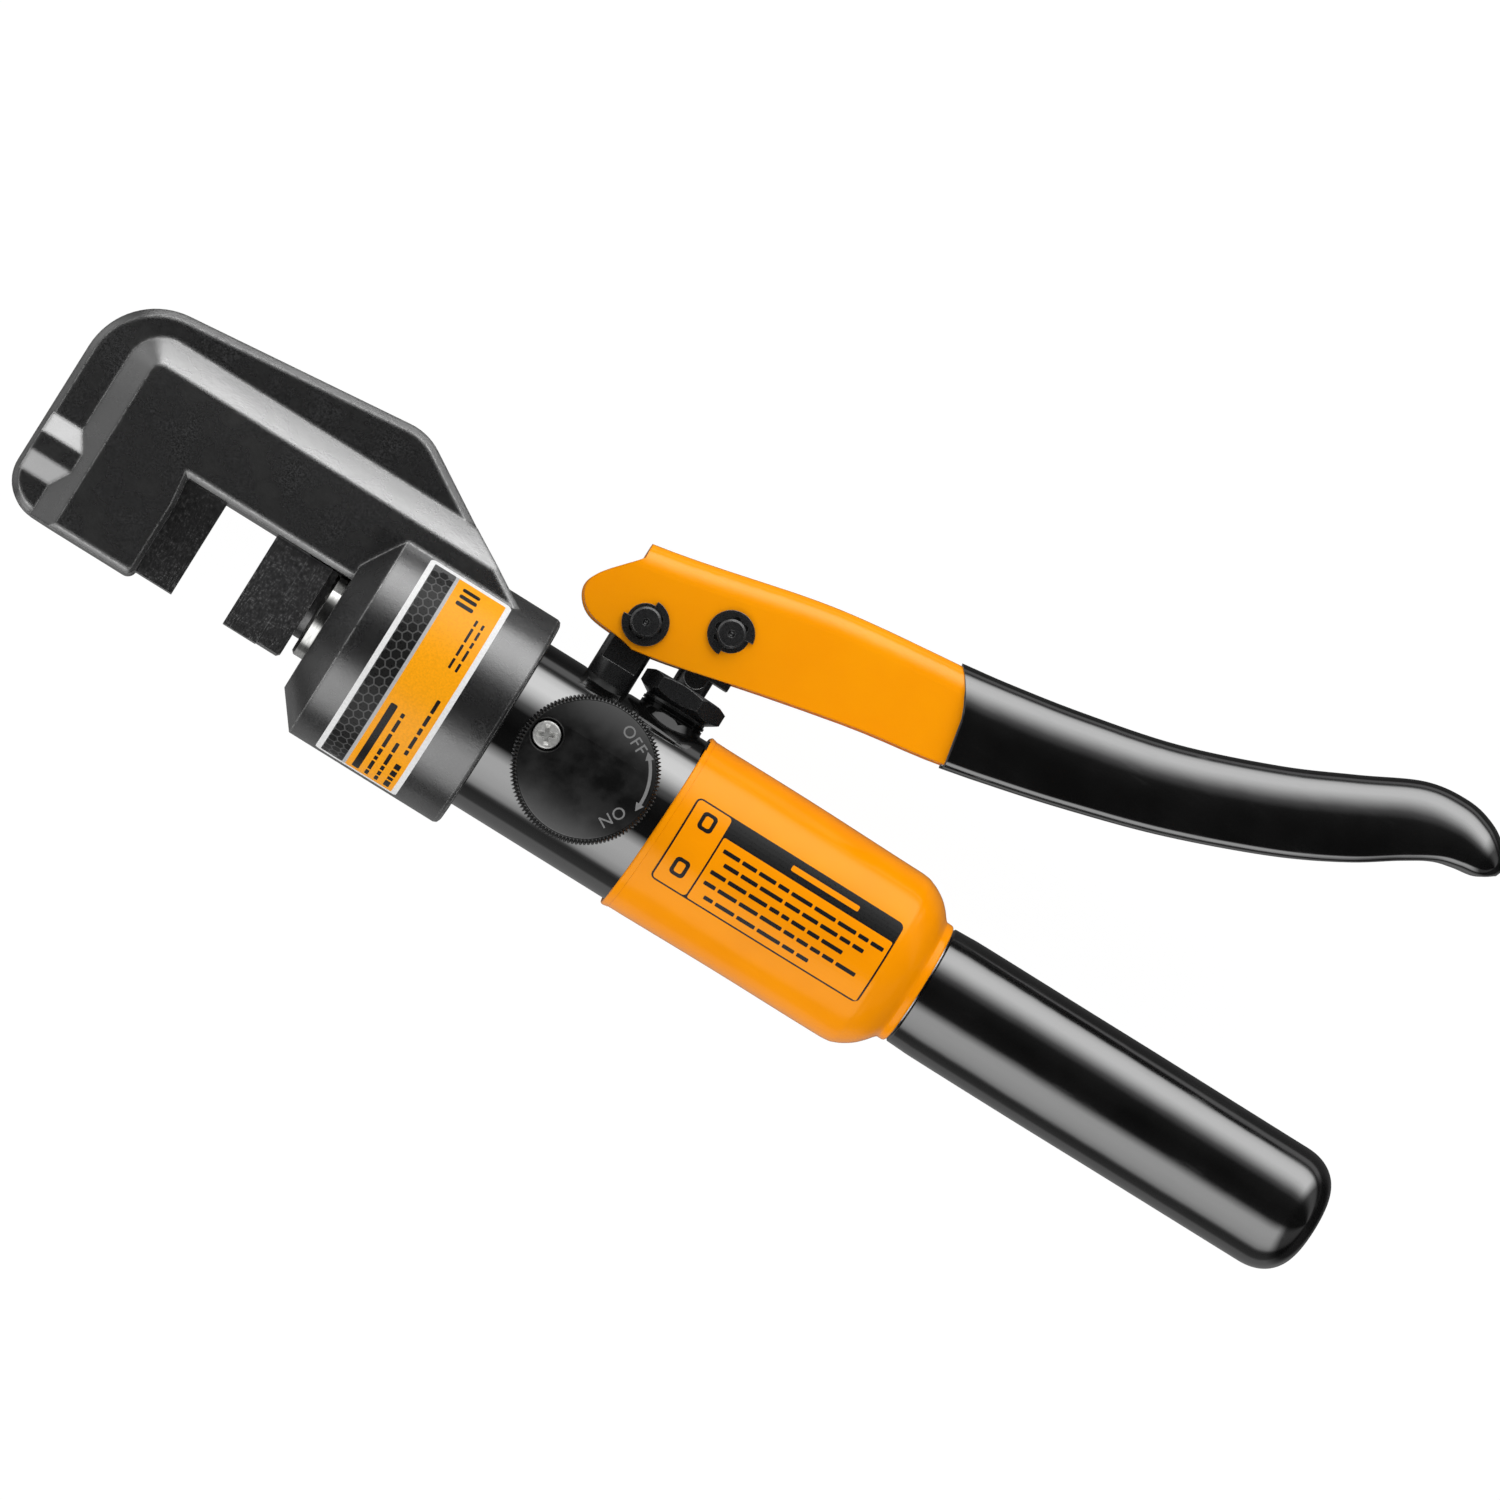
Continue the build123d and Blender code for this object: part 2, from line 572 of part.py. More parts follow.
def channel_face(drop=0.0):
    """Side view of the channel; drop lowers its back, for the hollow inside the fold."""
    top = Spline(*[(x, y - drop) for x, y in CHANNEL_TOP])
    bottom = Spline(*CHANNEL_BOTTOM)
    end = Line(top @ 1, bottom @ 1)
    notch = Line(top @ 0, (-16.2, 55.2))
    nose = Spline((-16.2, 55.2), (-22.6, 47.8), (-25.5, 41.4), (-22.0, 36.3), (-15.0, 34.6), bottom @ 0)
    return make_face([top, end, bottom, nose, notch])


def channel_envelope():
    """Solid inside the channel's outer surface, with the fold rounded along its back."""
    solid = plate(channel_face(), LEVER_HALF)
    fold_end_y = CHANNEL_TOP[-1][1] - 0.1
    fold = solid.edges().filter_by(lambda e: e.length > 150 and e.bounding_box().max.Y > fold_end_y)
    return fillet(fold, FOLD_R)


def lever_channel():
    channel = channel_envelope()
    channel -= plate(channel_face(PLATE), LEVER_GAP_HALF)
    channel -= rod_z(PIVOT_PIN_R + FIT, -12, 12, PIVOT_X, PIVOT_Y)
    return channel - rod_z(LINK_PIN_R + FIT, -12, 12, LINK_X, LINK_Y)


GRIP_OUTLINE = [
    (67.0, 75.4), (80, 77.3), (100, 81.0), (125, 87.0), (150, 96.2), (168, 104.7), (184, 112.6), (196, 114.3),
    (208, 110.6), (213.6, 104.4), (209.5, 99.4), (201, 97.6), (193, 94.6), (184, 88.0), (168, 79.0),
    (150, 71.0), (125, 62.2), (100, 55.3), (76.4, 49.8),
]


def lever_grip():
    outline = Spline(*GRIP_OUTLINE)
    mouth = Line(outline @ 1, outline @ 0)
    grip = plate(make_face([outline, mouth]), LEVER_GRIP_HALF)
    rims = grip.edges().filter_by(lambda e: abs(abs(e.center().Z) - LEVER_GRIP_HALF) < 0.01)
    grip = fillet(rims.filter_by(lambda e: e.length > 120), LEVER_GRIP_ROUND)
    # The coat leaves the channel open along its underside.
    slot_top = Spline(*[(x, y + PLATE) for x, y in CHANNEL_BOTTOM[5:]])
    below = Polyline(slot_top @ 1, (192, 60), (76, 30), slot_top @ 0)
    return grip - channel_envelope() - plate(make_face([slot_top, below]), COAT_SLOT_HALF)


def clip_pin(radius, groove_r, x, y):
    """Pin with a groove for a clip near each end."""
    end_z = 10.0
    pin = rod_z(radius, -end_z, end_z, x, y)
    pin = chamfer(pin.edges().filter_by(GeomType.CIRCLE), 0.5)
    for z0 in (7.3, -8.2):
        pin -= rod_z(radius + 1, z0, z0 + 0.9, x, y) - rod_z(groove_r, z0, z0 + 0.9, x, y)
    for z in (-end_z, end_z):
        pin -= Pos(x, y, z) * Sphere(0.9)
    return pin


CLIP_OUTER_R = 6.1
CLIP_GROOVE_R = 3.0
CLIP_MOUTH_HALF = 48


def pin_clip(x, y, mouth, z0):
    """E-shaped clip whose mouth points to the angle mouth, in degrees from X."""
    ring = Circle(CLIP_OUTER_R) - Circle(CLIP_GROOVE_R + 0.05)
    reach = 2 * CLIP_OUTER_R
    wedge = make_face(Polyline(
        (0, 0), (reach * cos(radians(CLIP_MOUTH_HALF)), reach * sin(radians(CLIP_MOUTH_HALF))),
        (reach * cos(radians(CLIP_MOUTH_HALF)), -reach * sin(radians(CLIP_MOUTH_HALF))), close=True,
    ))
    relief = Circle(1.1)
    clip = ring - wedge
    reach_in = CLIP_GROOVE_R + 0.5
    for angle in (95, -95, 140, -140):
        clip -= Pos(reach_in * cos(radians(angle)), reach_in * sin(radians(angle))) * relief
    return Pos(x, y, z0) * Rot(0, 0, mouth) * extrude(clip, 0.8)


def pin_clips():
    clips = []
    for z0 in (7.35, -8.15):
        clips.append(pin_clip(PIVOT_X, PIVOT_Y, 138, z0))
        clips.append(pin_clip(LINK_X, LINK_Y, -42, z0))
    return Compound(children=clips)


def fulcrum_pin():
    return clip_pin(PIVOT_PIN_R, CLIP_GROOVE_R, PIVOT_X, PIVOT_Y)


def link_pin():
    return clip_pin(LINK_PIN_R, CLIP_GROOVE_R, LINK_X, LINK_Y)


# ---------------------------------------------------------------- reservoir, handle and sleeve
def reservoir_tube():
    shell = turned(
        (BODY_REAR_X + 0.2, TUBE_INNER_R), (BODY_REAR_X + 0.2, TUBE_R), (84, TUBE_R), (87.6, 22.6),
        (91.2, 19.8), (94.0, 17.0), (96.5, 15.9), (99.0, 15.9), (99.0, HANDLE_TUBE_R + FIT),
        (90.5, HANDLE_TUBE_R + FIT), (90.5, 0), (86.0, 0), (86.0, 20.0), (84.0, TUBE_INNER_R),
    )
    return shell - rod_x(4.0 + FIT, 85, 91)


def filler_plug():
    plug = rod_x(4.0, 86.0, 90.5) + rod_x(6.0, 90.5, 94.0)
    return plug - socket_x(5.0, 3.0, 94.0, -1)


def oil_bladder():
    return turned(
        (37.0, 17.5 + FIT), (37.0, 19.0), (46.0, 19.0), (49.0, 20.3), (78.0, 20.3), (82.5, 17.0),
        (84.0, 12.0), (84.0, 0), (82.4, 0), (82.4, 11.5), (81.2, 15.9), (77.3, 18.8), (49.5, 18.8),
        (46.5, 17.5 + FIT),
    )


def bladder_clamp():
    return ring_x(20.2, 19.0 + FIT, 39.0, 42.5)


def handle_tube():
    return ring_x(HANDLE_TUBE_R, 12.9, 90.6, 208.0)


def handle_plug():
    return rod_x(12.9 - FIT, 198.0, 207.0)


def handle_grip():
    flare = Spline((101.0, GRIP_START_R), (106.0, GRIP_START_R + 0.1), (114.0, GRIP_R))
    barrel = Line((114.0, GRIP_R), (208.0, GRIP_R))
    corner = ThreePointArc((208.0, GRIP_R), (216.2, 13.1), (219.0, 6.0))
    dome = Spline((219.0, 6.0), (219.45, 3.0), (HANDLE_END_X, 0))
    inner = Polyline(
        (HANDLE_END_X, 0), (208.3, 0), (208.3, HANDLE_TUBE_R + FIT), (101.0, HANDLE_TUBE_R + FIT),
        (101.0, GRIP_START_R),
    )
    return revolve(make_face([flare, barrel, corner, dome, inner]), Axis.X)


def body_sleeve():
    sleeve = turned(
        (SLEEVE_START_X, SLEEVE_INNER_R), (SLEEVE_START_X, 25.0), (21.6, 25.2), (50, 24.9), (84.5, 24.6),
        (87.5, 24.2), (90, 23.2), (93, 20.9), (95.5, 18.6), (97.5, 17.3), (SLEEVE_END_X, 16.8),
        (SLEEVE_END_X, 16.1), (97.2, 16.15), (95.2, 17.0), (92.0, 20.0), (88.2, 22.8),
        (84.2, SLEEVE_INNER_R),
    )
    return sleeve - rod_y(11.4, 10, 40, PLUNGER_X)


def rating_label():
    """Thin label wrapped round the near side of the collar."""
    ring = ring_x(COLLAR_R + 0.22, COLLAR_R + 0.01, -62.2, -38.3)
    upper = 59.0
    lower = -79.0
    keep = Plane.YZ * make_face(Polyline(
        (0, 0), (50 * sin(radians(upper)), 50 * cos(radians(upper))), (0, 70),
        (-60, 50), (50 * sin(radians(lower)), 50 * cos(radians(lower))), close=True,
    ))
    return ring & extrude(keep, 100, both=True)


# ---------------------------------------------------------------- export
NODES = [
    cutter_head, rod_guide_bush, rod_wiper, fixed_blade, fixed_blade_screw, rating_label,
    ram, piston_seal, piston_backup_ring, blade_holder, holder_screw, moving_blade, moving_blade_screws,
    return_spring, pump_body, body_o_ring, fulcrum_post, gland_nut, gland_washer, plunger_seal,
    plunger_backup_ring, delivery_ball, delivery_spring, delivery_spring_seat, suction_ball, suction_spring,
    suction_seat, suction_tube, suction_filter, relief_ball, relief_spring, relief_screw, release_ball,
    release_knob, knob_screw, valve_stem, stem_o_ring, pump_plunger, lever_channel, lever_grip, fulcrum_pin,
    link_pin, pin_clips, reservoir_tube, filler_plug, oil_bladder, bladder_clamp, handle_tube, handle_plug,
    handle_grip, body_sleeve,
]

os.makedirs("parts", exist_ok=True)
for make_node in NODES:
    shape = Pos(-PLAN_X, -PLAN_Y, AXIS_Z) * make_node()
    export_step(shape, "parts/" + make_node.__name__ + ".step")
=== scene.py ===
"""Looks of the hand-pumped hydraulic bar cutter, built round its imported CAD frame.

Lengths in the piece builders are in millimetres in the tool's own axes: X along the tool axis towards
the rear grip, Y towards the hand lever, Z up through the release knob, with the origin on the tool axis.
tool() turns them into the frame's metres.
"""
import bpy
import json
import math
import random
from mathutils import Matrix, Vector
from mathutils.geometry import tessellate_polygon


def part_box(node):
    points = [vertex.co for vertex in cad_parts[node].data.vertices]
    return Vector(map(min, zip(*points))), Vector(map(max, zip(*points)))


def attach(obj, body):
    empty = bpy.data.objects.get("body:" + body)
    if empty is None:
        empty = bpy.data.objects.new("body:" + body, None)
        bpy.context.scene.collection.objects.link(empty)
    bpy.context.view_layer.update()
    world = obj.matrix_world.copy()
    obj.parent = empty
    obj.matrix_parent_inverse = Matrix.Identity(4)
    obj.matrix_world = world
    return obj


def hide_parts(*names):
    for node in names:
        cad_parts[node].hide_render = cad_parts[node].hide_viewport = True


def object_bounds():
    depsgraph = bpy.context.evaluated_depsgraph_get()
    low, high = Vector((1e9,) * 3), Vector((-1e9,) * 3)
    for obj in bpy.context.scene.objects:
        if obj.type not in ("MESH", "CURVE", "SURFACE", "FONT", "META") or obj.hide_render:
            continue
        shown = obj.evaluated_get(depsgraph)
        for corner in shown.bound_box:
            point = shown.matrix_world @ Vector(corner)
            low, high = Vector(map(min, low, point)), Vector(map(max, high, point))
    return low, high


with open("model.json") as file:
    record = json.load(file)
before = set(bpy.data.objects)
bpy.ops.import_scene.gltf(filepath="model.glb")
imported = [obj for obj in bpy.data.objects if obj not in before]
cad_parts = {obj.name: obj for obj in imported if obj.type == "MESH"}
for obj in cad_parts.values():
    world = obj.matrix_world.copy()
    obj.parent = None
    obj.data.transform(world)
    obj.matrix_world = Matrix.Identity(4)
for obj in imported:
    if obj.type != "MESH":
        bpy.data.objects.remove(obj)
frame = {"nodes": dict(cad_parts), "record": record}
cad_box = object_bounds()
NODES = frame["nodes"]
MM = 0.001


def middle(node):
    """Middle of a node's box, in metres."""
    low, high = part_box(node)
    return (low + high) / 2


# The tool axis runs through the middle of the rear grip; the knob stands 1.6 mm ahead of X = 0.
GRIP_MIDDLE = middle("handle_grip")
ORIGIN = Vector((middle("release_knob").x + 1.6 * MM, GRIP_MIDDLE.y, GRIP_MIDDLE.z))


def tool(x, y, z):
    """A point given in the tool's axes in millimetres, as a point of the frame in metres."""
    return ORIGIN + Vector((x, y, z)) * MM


def size_mm(node):
    """Lengths of a node's box, in millimetres."""
    low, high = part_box(node)
    return (high - low) / MM


# ------------------------------------------------------------------ camera
VIEW_WIDTH = 382.4
VIEW_CENTRE = (32.5, 27.9)
VIEW_ROLL = math.radians(31.87)
LEAN_TO_HEAD = math.radians(2.8)
LEAN_FROM_LEVER = math.radians(2.3)
CAMERA_DISTANCE = 2.4
SENSOR = 36.0
NEAREST, FARTHEST = 0.1, 100.0


def make_camera():
    """Camera almost straight above the tool, turned so that the tool lies across the picture."""
    back = Vector((-math.sin(LEAN_TO_HEAD), -math.sin(LEAN_FROM_LEVER), 1.0)).normalized()
    right = Vector((math.cos(VIEW_ROLL), math.sin(VIEW_ROLL), 0.0))
    right = (right - back * right.dot(back)).normalized()
    up = back.cross(right)
    data = bpy.data.cameras.new("camera")
    data.sensor_width = SENSOR
    data.lens = SENSOR * CAMERA_DISTANCE / (VIEW_WIDTH * MM)
    data.clip_start = NEAREST
    data.clip_end = FARTHEST
    camera = bpy.data.objects.new("camera", data)
    bpy.context.scene.collection.objects.link(camera)
    place = tool(VIEW_CENTRE[0], VIEW_CENTRE[1], 0) + back * CAMERA_DISTANCE
    camera.matrix_world = Matrix.Translation(place) @ Matrix((right, up, back)).transposed().to_4x4()
    bpy.context.scene.camera = camera


# ------------------------------------------------------------------ studio
# Brightness of the studio by the angle from straight up, towards the lever (+) or away from it (-).
SKY_PEAK = 3.2
SKY = [
    (-180, 0.12), (-165, 0.30), (-124, 0.34), (-119, 0.12), (-100, 0.08), (-95, 0.16), (-88, 1.0), (-76, 1.5),
    (-56, 1.75), (-42, 1.75), (-34, 0.9), (-26, 0.02), (0, 0.010), (24, 0.03), (34, 0.35), (42, 1.2),
    (52, 2.4), (62, 3.1), (76, 3.0), (87, 2.3), (94, 0.25), (99, 0.05), (104, 0.4), (113, 0.4), (117, 0.06),
    (130, 0.06), (180, 0.1),
]

# The side lights fade to END_LEVEL where the sky turns towards the tool's two ends.
FADE_START, FADE_STOP, END_LEVEL = 0.46, 0.68, 0.10
# A dimmer light stands low at the tool's head.
HEAD_LIGHT = 0.40
HEAD_START, HEAD_STOP = -0.86, -0.66
HEAD_LOW, HEAD_HIGH = 0.62, 0.78
# Light thrown back by the pale room: it brightens matt colours and is not mirrored.
ROOM_LIGHT = 0.56
FLOOR_HALF = 12.0
FLOOR_DROP = 0.0004
FLOOR_COLOR, FLOOR_GLOW = 0.04, 0.98
WALL_R = 11.5
WALL_LEVELS = (-8.0, 14.0)
WALL_SIDES = 48


def add(tree, kind, **settings):
    """A new node of that kind with its settings."""
    node = tree.nodes.new(kind)
    for key, value in settings.items():
        setattr(node, key, value)
    return node


def math_node(tree, operation, a, b=None):
    """A Math node whose inputs are sockets or numbers; returns its output."""
    node = add(tree, "ShaderNodeMath", operation=operation)
    for index, value in enumerate((a, b)):
        if isinstance(value, (int, float)):
            node.inputs[index].default_value = value
        elif value is not None:
            tree.links.new(value, node.inputs[index])
    return node.outputs["Value"]


def spread(tree, value, low, high, to_low=0.0, to_high=1.0):
    """Maps a socket's range low..high onto to_low..to_high, held at both ends."""
    node = add(tree, "ShaderNodeMapRange")
    tree.links.new(value, node.inputs["Value"])
    for socket, number in zip(("From Min", "From Max", "To Min", "To Max"), (low, high, to_low, to_high)):
        node.inputs[socket].default_value = number
    return node.outputs["Result"]


def make_world():
    """A dark studio with a long soft light on each side of the tool."""
    world = bpy.data.worlds.new("studio")
    bpy.context.scene.world = world
    world.use_nodes = True
    tree = world.node_tree
    tree.nodes.clear()
    coordinate = add(tree, "ShaderNodeTexCoord")
    split = add(tree, "ShaderNodeSeparateXYZ")
    tree.links.new(coordinate.outputs["Generated"], split.inputs["Vector"])
    along, across, up = split.outputs
    turn = math_node(tree, "ARCTAN2", across, up)
    ramp = add(tree, "ShaderNodeValToRGB")
    stops = ramp.color_ramp.elements
    while len(stops) < len(SKY):
        stops.new(0.5)
    for stop, (angle, value) in zip(stops, SKY):
        stop.position = (angle + 180) / 360
        stop.color = (value / SKY_PEAK, value / SKY_PEAK, value / SKY_PEAK, 1)
    tree.links.new(spread(tree, turn, -math.pi, math.pi), ramp.inputs["Fac"])
    reach = spread(tree, math_node(tree, "ABSOLUTE", along), FADE_START, FADE_STOP, 1.0, END_LEVEL)
    head_light = spread(tree, along, HEAD_START, HEAD_STOP, HEAD_LIGHT, 0.0)
    low_enough = spread(tree, up, HEAD_LOW, HEAD_HIGH, 1.0, 0.0)
    rays = add(tree, "ShaderNodeLightPath")
    room = math_node(tree, "MULTIPLY", rays.outputs["Is Diffuse Ray"], ROOM_LIGHT)
    background = add(tree, "ShaderNodeBackground")
    beyond = add(tree, "ShaderNodeBackground")
    total = add(tree, "ShaderNodeAddShader")
    output = add(tree, "ShaderNodeOutputWorld")
    tree.links.new(ramp.outputs["Color"], background.inputs["Color"])
    tree.links.new(math_node(tree, "MULTIPLY", reach, SKY_PEAK), background.inputs["Strength"])
    ahead = math_node(tree, "MULTIPLY", head_light, low_enough)
    tree.links.new(math_node(tree, "ADD", ahead, room), beyond.inputs["Strength"])
    tree.links.new(background.outputs["Background"], total.inputs[0])
    tree.links.new(beyond.outputs["Background"], total.inputs[1])
    tree.links.new(total.outputs["Shader"], output.inputs["Surface"])


def stage_piece(name, points, faces, color, glow):
    """Part of the studio: seen by the camera and lit softly, but never mirrored in the tool."""
    mesh = bpy.data.meshes.new(name)
    mesh.from_pydata(points, [], faces)
    piece = bpy.data.objects.new(name, mesh)
    bpy.context.scene.collection.objects.link(piece)
    piece.visible_glossy = False
    material = bpy.data.materials.new(name)
    material.use_nodes = True
    shader = material.node_tree.nodes["Principled BSDF"]
    shader.inputs["Base Color"].default_value = (color, color, color, 1)
    shader.inputs["Roughness"].default_value = 0.9
    shader.inputs["Specular IOR Level"].default_value = 0.1
    shader.inputs["Emission Color"].default_value = (1, 1, 1, 1)
    shader.inputs["Emission Strength"].default_value = glow
    mesh.materials.append(material)
    return piece


def make_stage():
    """A pale floor just under the tool, and a pale round wall far behind it."""
    height = cad_box[0].z - FLOOR_DROP
    corners = [(x * FLOOR_HALF, y * FLOOR_HALF, height) for x, y in ((-1, -1), (1, -1), (1, 1), (-1, 1))]
    floor = stage_piece("floor", corners, [(0, 1, 2, 3)], FLOOR_COLOR, FLOOR_GLOW)
    floor.visible_diffuse = False
    wall = []
    for level in WALL_LEVELS:
        for k in range(WALL_SIDES):
            turn = 2 * math.pi * k / WALL_SIDES
            wall.append((WALL_R * math.cos(turn), WALL_R * math.sin(turn), level))
    faces = []
    for k in range(WALL_SIDES):
        after = (k + 1) % WALL_SIDES
        faces.append((k, after, WALL_SIDES + after, WALL_SIDES + k))
    backdrop = stage_piece("backdrop", wall, faces, 0.0, 1.0)
    backdrop.visible_diffuse = False
    backdrop.visible_shadow = False


# ------------------------------------------------------------------ material helpers
def new_material(name, color, roughness, metallic=0.0, ior=1.5):
    """A material, its node tree and its shader with the plain values set."""
    material = bpy.data.materials.new(name)
    material.use_nodes = True
    shader = material.node_tree.nodes["Principled BSDF"]
    shader.inputs["Base Color"].default_value = (*color, 1)
    shader.inputs["Roughness"].default_value = roughness
    shader.inputs["Metallic"].default_value = metallic
    shader.inputs["IOR"].default_value = ior
    return material, material.node_tree, shader


def noise(tree, feature, detail=4.0, stretch=(1, 1, 1), roughness=0.55):
    """Noise with features of about that many millimetres, drawn out where stretch is small."""
    coordinate = add(tree, "ShaderNodeTexCoord")
    mapping = add(tree, "ShaderNodeMapping")
    mapping.inputs["Scale"].default_value = stretch
    texture = add(tree, "ShaderNodeTexNoise")
    texture.inputs["Scale"].default_value = 1 / (feature * MM)
    texture.inputs["Detail"].default_value = detail
    texture.inputs["Roughness"].default_value = roughness
    tree.links.new(coordinate.outputs["Object"], mapping.inputs["Vector"])
    tree.links.new(mapping.outputs["Vector"], texture.inputs["Vector"])
    return texture.outputs["Fac"]


def blend_color(tree, factor, low, high):
    """Colour that runs from low to high with the factor; each is a colour or a socket."""
    node = add(tree, "ShaderNodeMix", data_type="RGBA")
    tree.links.new(factor, node.inputs["Factor"])
    for name, value in (("A", low), ("B", high)):
        socket = [s for s in node.inputs if s.name == name and s.type == "RGBA"][0]
        if isinstance(value, tuple):
            socket.default_value = (*value, 1)
        else:
            tree.links.new(value, socket)
    return [s for s in node.outputs if s.type == "RGBA"][0]


def between(tree, axis, start, stop, to_low=0.0, to_high=1.0):
    """Runs from to_low to to_high between two places on one of the tool's axes, in millimetres."""
    coordinate = add(tree, "ShaderNodeTexCoord")
    split = add(tree, "ShaderNodeSeparateXYZ")
    tree.links.new(coordinate.outputs["Object"], split.inputs["Vector"])
    index = "XYZ".index(axis)
    ends = [tool(place, place, place)[index] for place in (start, stop)]
    return spread(tree, split.outputs[axis], *ends, to_low, to_high)


def edge_wear(tree, radius, low, high):
    """1 along the sharp edges, 0 on the faces; radius in millimetres."""
    bevel = add(tree, "ShaderNodeBevel", samples=4)
    bevel.inputs["Radius"].default_value = radius * MM
    geometry = add(tree, "ShaderNodeNewGeometry")
    dot = add(tree, "ShaderNodeVectorMath", operation="DOT_PRODUCT")
    tree.links.new(bevel.outputs["Normal"], dot.inputs[0])
    tree.links.new(geometry.outputs["Normal"], dot.inputs[1])
    return spread(tree, dot.outputs["Value"], 1 - low, 1 - high)


def set_relief(tree, shader, reliefs, edge_radius=0.0):
    """Gives the shader rounded edges and stacked bumps; each relief is (socket, height in mm)."""
    normal = None
    if edge_radius:
        bevel = add(tree, "ShaderNodeBevel", samples=4)
        bevel.inputs["Radius"].default_value = edge_radius * MM
        normal = bevel.outputs["Normal"]
    for height, depth in reliefs:
        bump = add(tree, "ShaderNodeBump")
        bump.inputs["Distance"].default_value = depth * MM
        tree.links.new(height, bump.inputs["Height"])
        if normal is not None:
            tree.links.new(normal, bump.inputs["Normal"])
        normal = bump.outputs["Normal"]
    tree.links.new(normal, shader.inputs["Normal"])


# ------------------------------------------------------------------ materials
COLLAR_SHINE = 0.40


def forged_black(name):
    """Black oxide over a forged skin: cloudy, speckled, rubbed bright in patches and on its edges."""
    material, tree, shader = new_material(name, (0.012, 0.012, 0.012), 0.3, 0.0, 2.5)
    cloud = noise(tree, 9.0, 3.0)
    speckle = noise(tree, 0.42, 2.0, roughness=0.6)
    pits = noise(tree, 1.1, 3.0, roughness=0.6)
    rubbed = math_node(tree, "MULTIPLY", spread(tree, cloud, 0.48, 0.66), spread(tree, speckle, 0.45, 0.62))
    edge = math_node(tree, "MULTIPLY", edge_wear(tree, 0.6, 0.012, 0.09), spread(tree, pits, 0.34, 0.54))
    grain = spread(tree, speckle, 0.35, 0.65)
    dark = blend_color(tree, grain, (0.007, 0.007, 0.0072), (0.020, 0.020, 0.0205))
    worn = blend_color(tree, rubbed, dark, (0.048, 0.048, 0.049))
    color = blend_color(tree, edge, worn, (0.50, 0.50, 0.495))
    tree.links.new(color, shader.inputs["Base Color"])
    tree.links.new(math_node(tree, "MULTIPLY", edge, 0.45), shader.inputs["Metallic"])
    tree.links.new(spread(tree, cloud, 0.35, 0.65, 0.30, 0.24), shader.inputs["Roughness"])
    # The forged arm shines more than the turned collar; a painted highlight raises its reflection most along
    # the foot of its long slope, and painted shade dims it further from the lever.
    slope_painted_highlight = between(tree, "Y", 39, 33.5, 0.55, 0.95)
    arm = math_node(tree, "MULTIPLY", slope_painted_highlight, between(tree, "Y", 30, 20, 1.0, 0.72))
    on_collar = math_node(tree, "MULTIPLY", between(tree, "X", -79, -76), between(tree, "Y", 27, 25.5))
    painted_reflection_level = add(tree, "ShaderNodeMix", data_type="FLOAT")
    painted_reflection_level.inputs["B"].default_value = COLLAR_SHINE
    tree.links.new(on_collar, painted_reflection_level.inputs["Factor"])
    tree.links.new(arm, painted_reflection_level.inputs["A"])
    tree.links.new(painted_reflection_level.outputs["Result"], shader.inputs["Specular IOR Level"])
    set_relief(tree, shader, [(cloud, 0.07), (pits, 0.018), (speckle, 0.026)], 1.5)
    return material


def gloss_black(name):
    """Hard gloss black on the turned pump body."""
    material, tree, shader = new_material(name, (0.003, 0.003, 0.003), 0.05, 0.0, 2.6)
    haze = noise(tree, 9.0, 4.0)
    grain = noise(tree, 0.8, 2.0, (0.25, 1, 1))
    tree.links.new(spread(tree, haze, 0.35, 0.7, 0.04, 0.085), shader.inputs["Roughness"])
    color = blend_color(tree, haze, (0.002, 0.002, 0.002), (0.005, 0.005, 0.005))
    tree.links.new(color, shader.inputs["Base Color"])
    # The boss under the gland nut and the flank beside it lie in the lever's shade.
    tree.links.new(between(tree, "Y", 19.6, 21.0, 0.5, 0.07), shader.inputs["Specular IOR Level"])
    set_relief(tree, shader, [(grain, 0.0012)], 0.25)
    return material


def small_black(name):
    """Black oxide on turned and milled pieces, rubbed to bare steel along the edges."""
    material, tree, shader = new_material(name, (0.010, 0.010, 0.011), 0.3, 0.0, 2.2)
    cloud = noise(tree, 3.0, 4.0)
    speckle = noise(tree, 0.4, 3.0)
    edge = math_node(tree, "MULTIPLY", edge_wear(tree, 0.3, 0.04, 0.3), spread(tree, cloud, 0.40, 0.55))
    dark = blend_color(tree, cloud, (0.006, 0.006, 0.007), (0.018, 0.018, 0.019))
    tree.links.new(blend_color(tree, edge, dark, (0.34, 0.34, 0.335)), shader.inputs["Base Color"])
    tree.links.new(math_node(tree, "MULTIPLY", edge, 0.8), shader.inputs["Metallic"])
    tree.links.new(spread(tree, speckle, 0.3, 0.7, 0.22, 0.36), shader.inputs["Roughness"])
    set_relief(tree, shader, [(speckle, 0.006)], 0.22)
    return material


def knob_black(name):
    """Satin black knob, faintly cloudy from handling."""
    material, tree, shader = new_material(name, (0.01, 0.01, 0.01), 0.34, 0.0, 1.6)
    cloud = noise(tree, 5.0, 5.0)
    speckle = noise(tree, 0.5, 3.0)
    color = blend_color(tree, spread(tree, cloud, 0.4, 0.65), (0.003, 0.003, 0.003), (0.010, 0.010, 0.010))
    tree.links.new(color, shader.inputs["Base Color"])
    tree.links.new(spread(tree, cloud, 0.35, 0.65, 0.28, 0.36), shader.inputs["Roughness"])
    set_relief(tree, shader, [(speckle, 0.006)], 0.12)
    return material


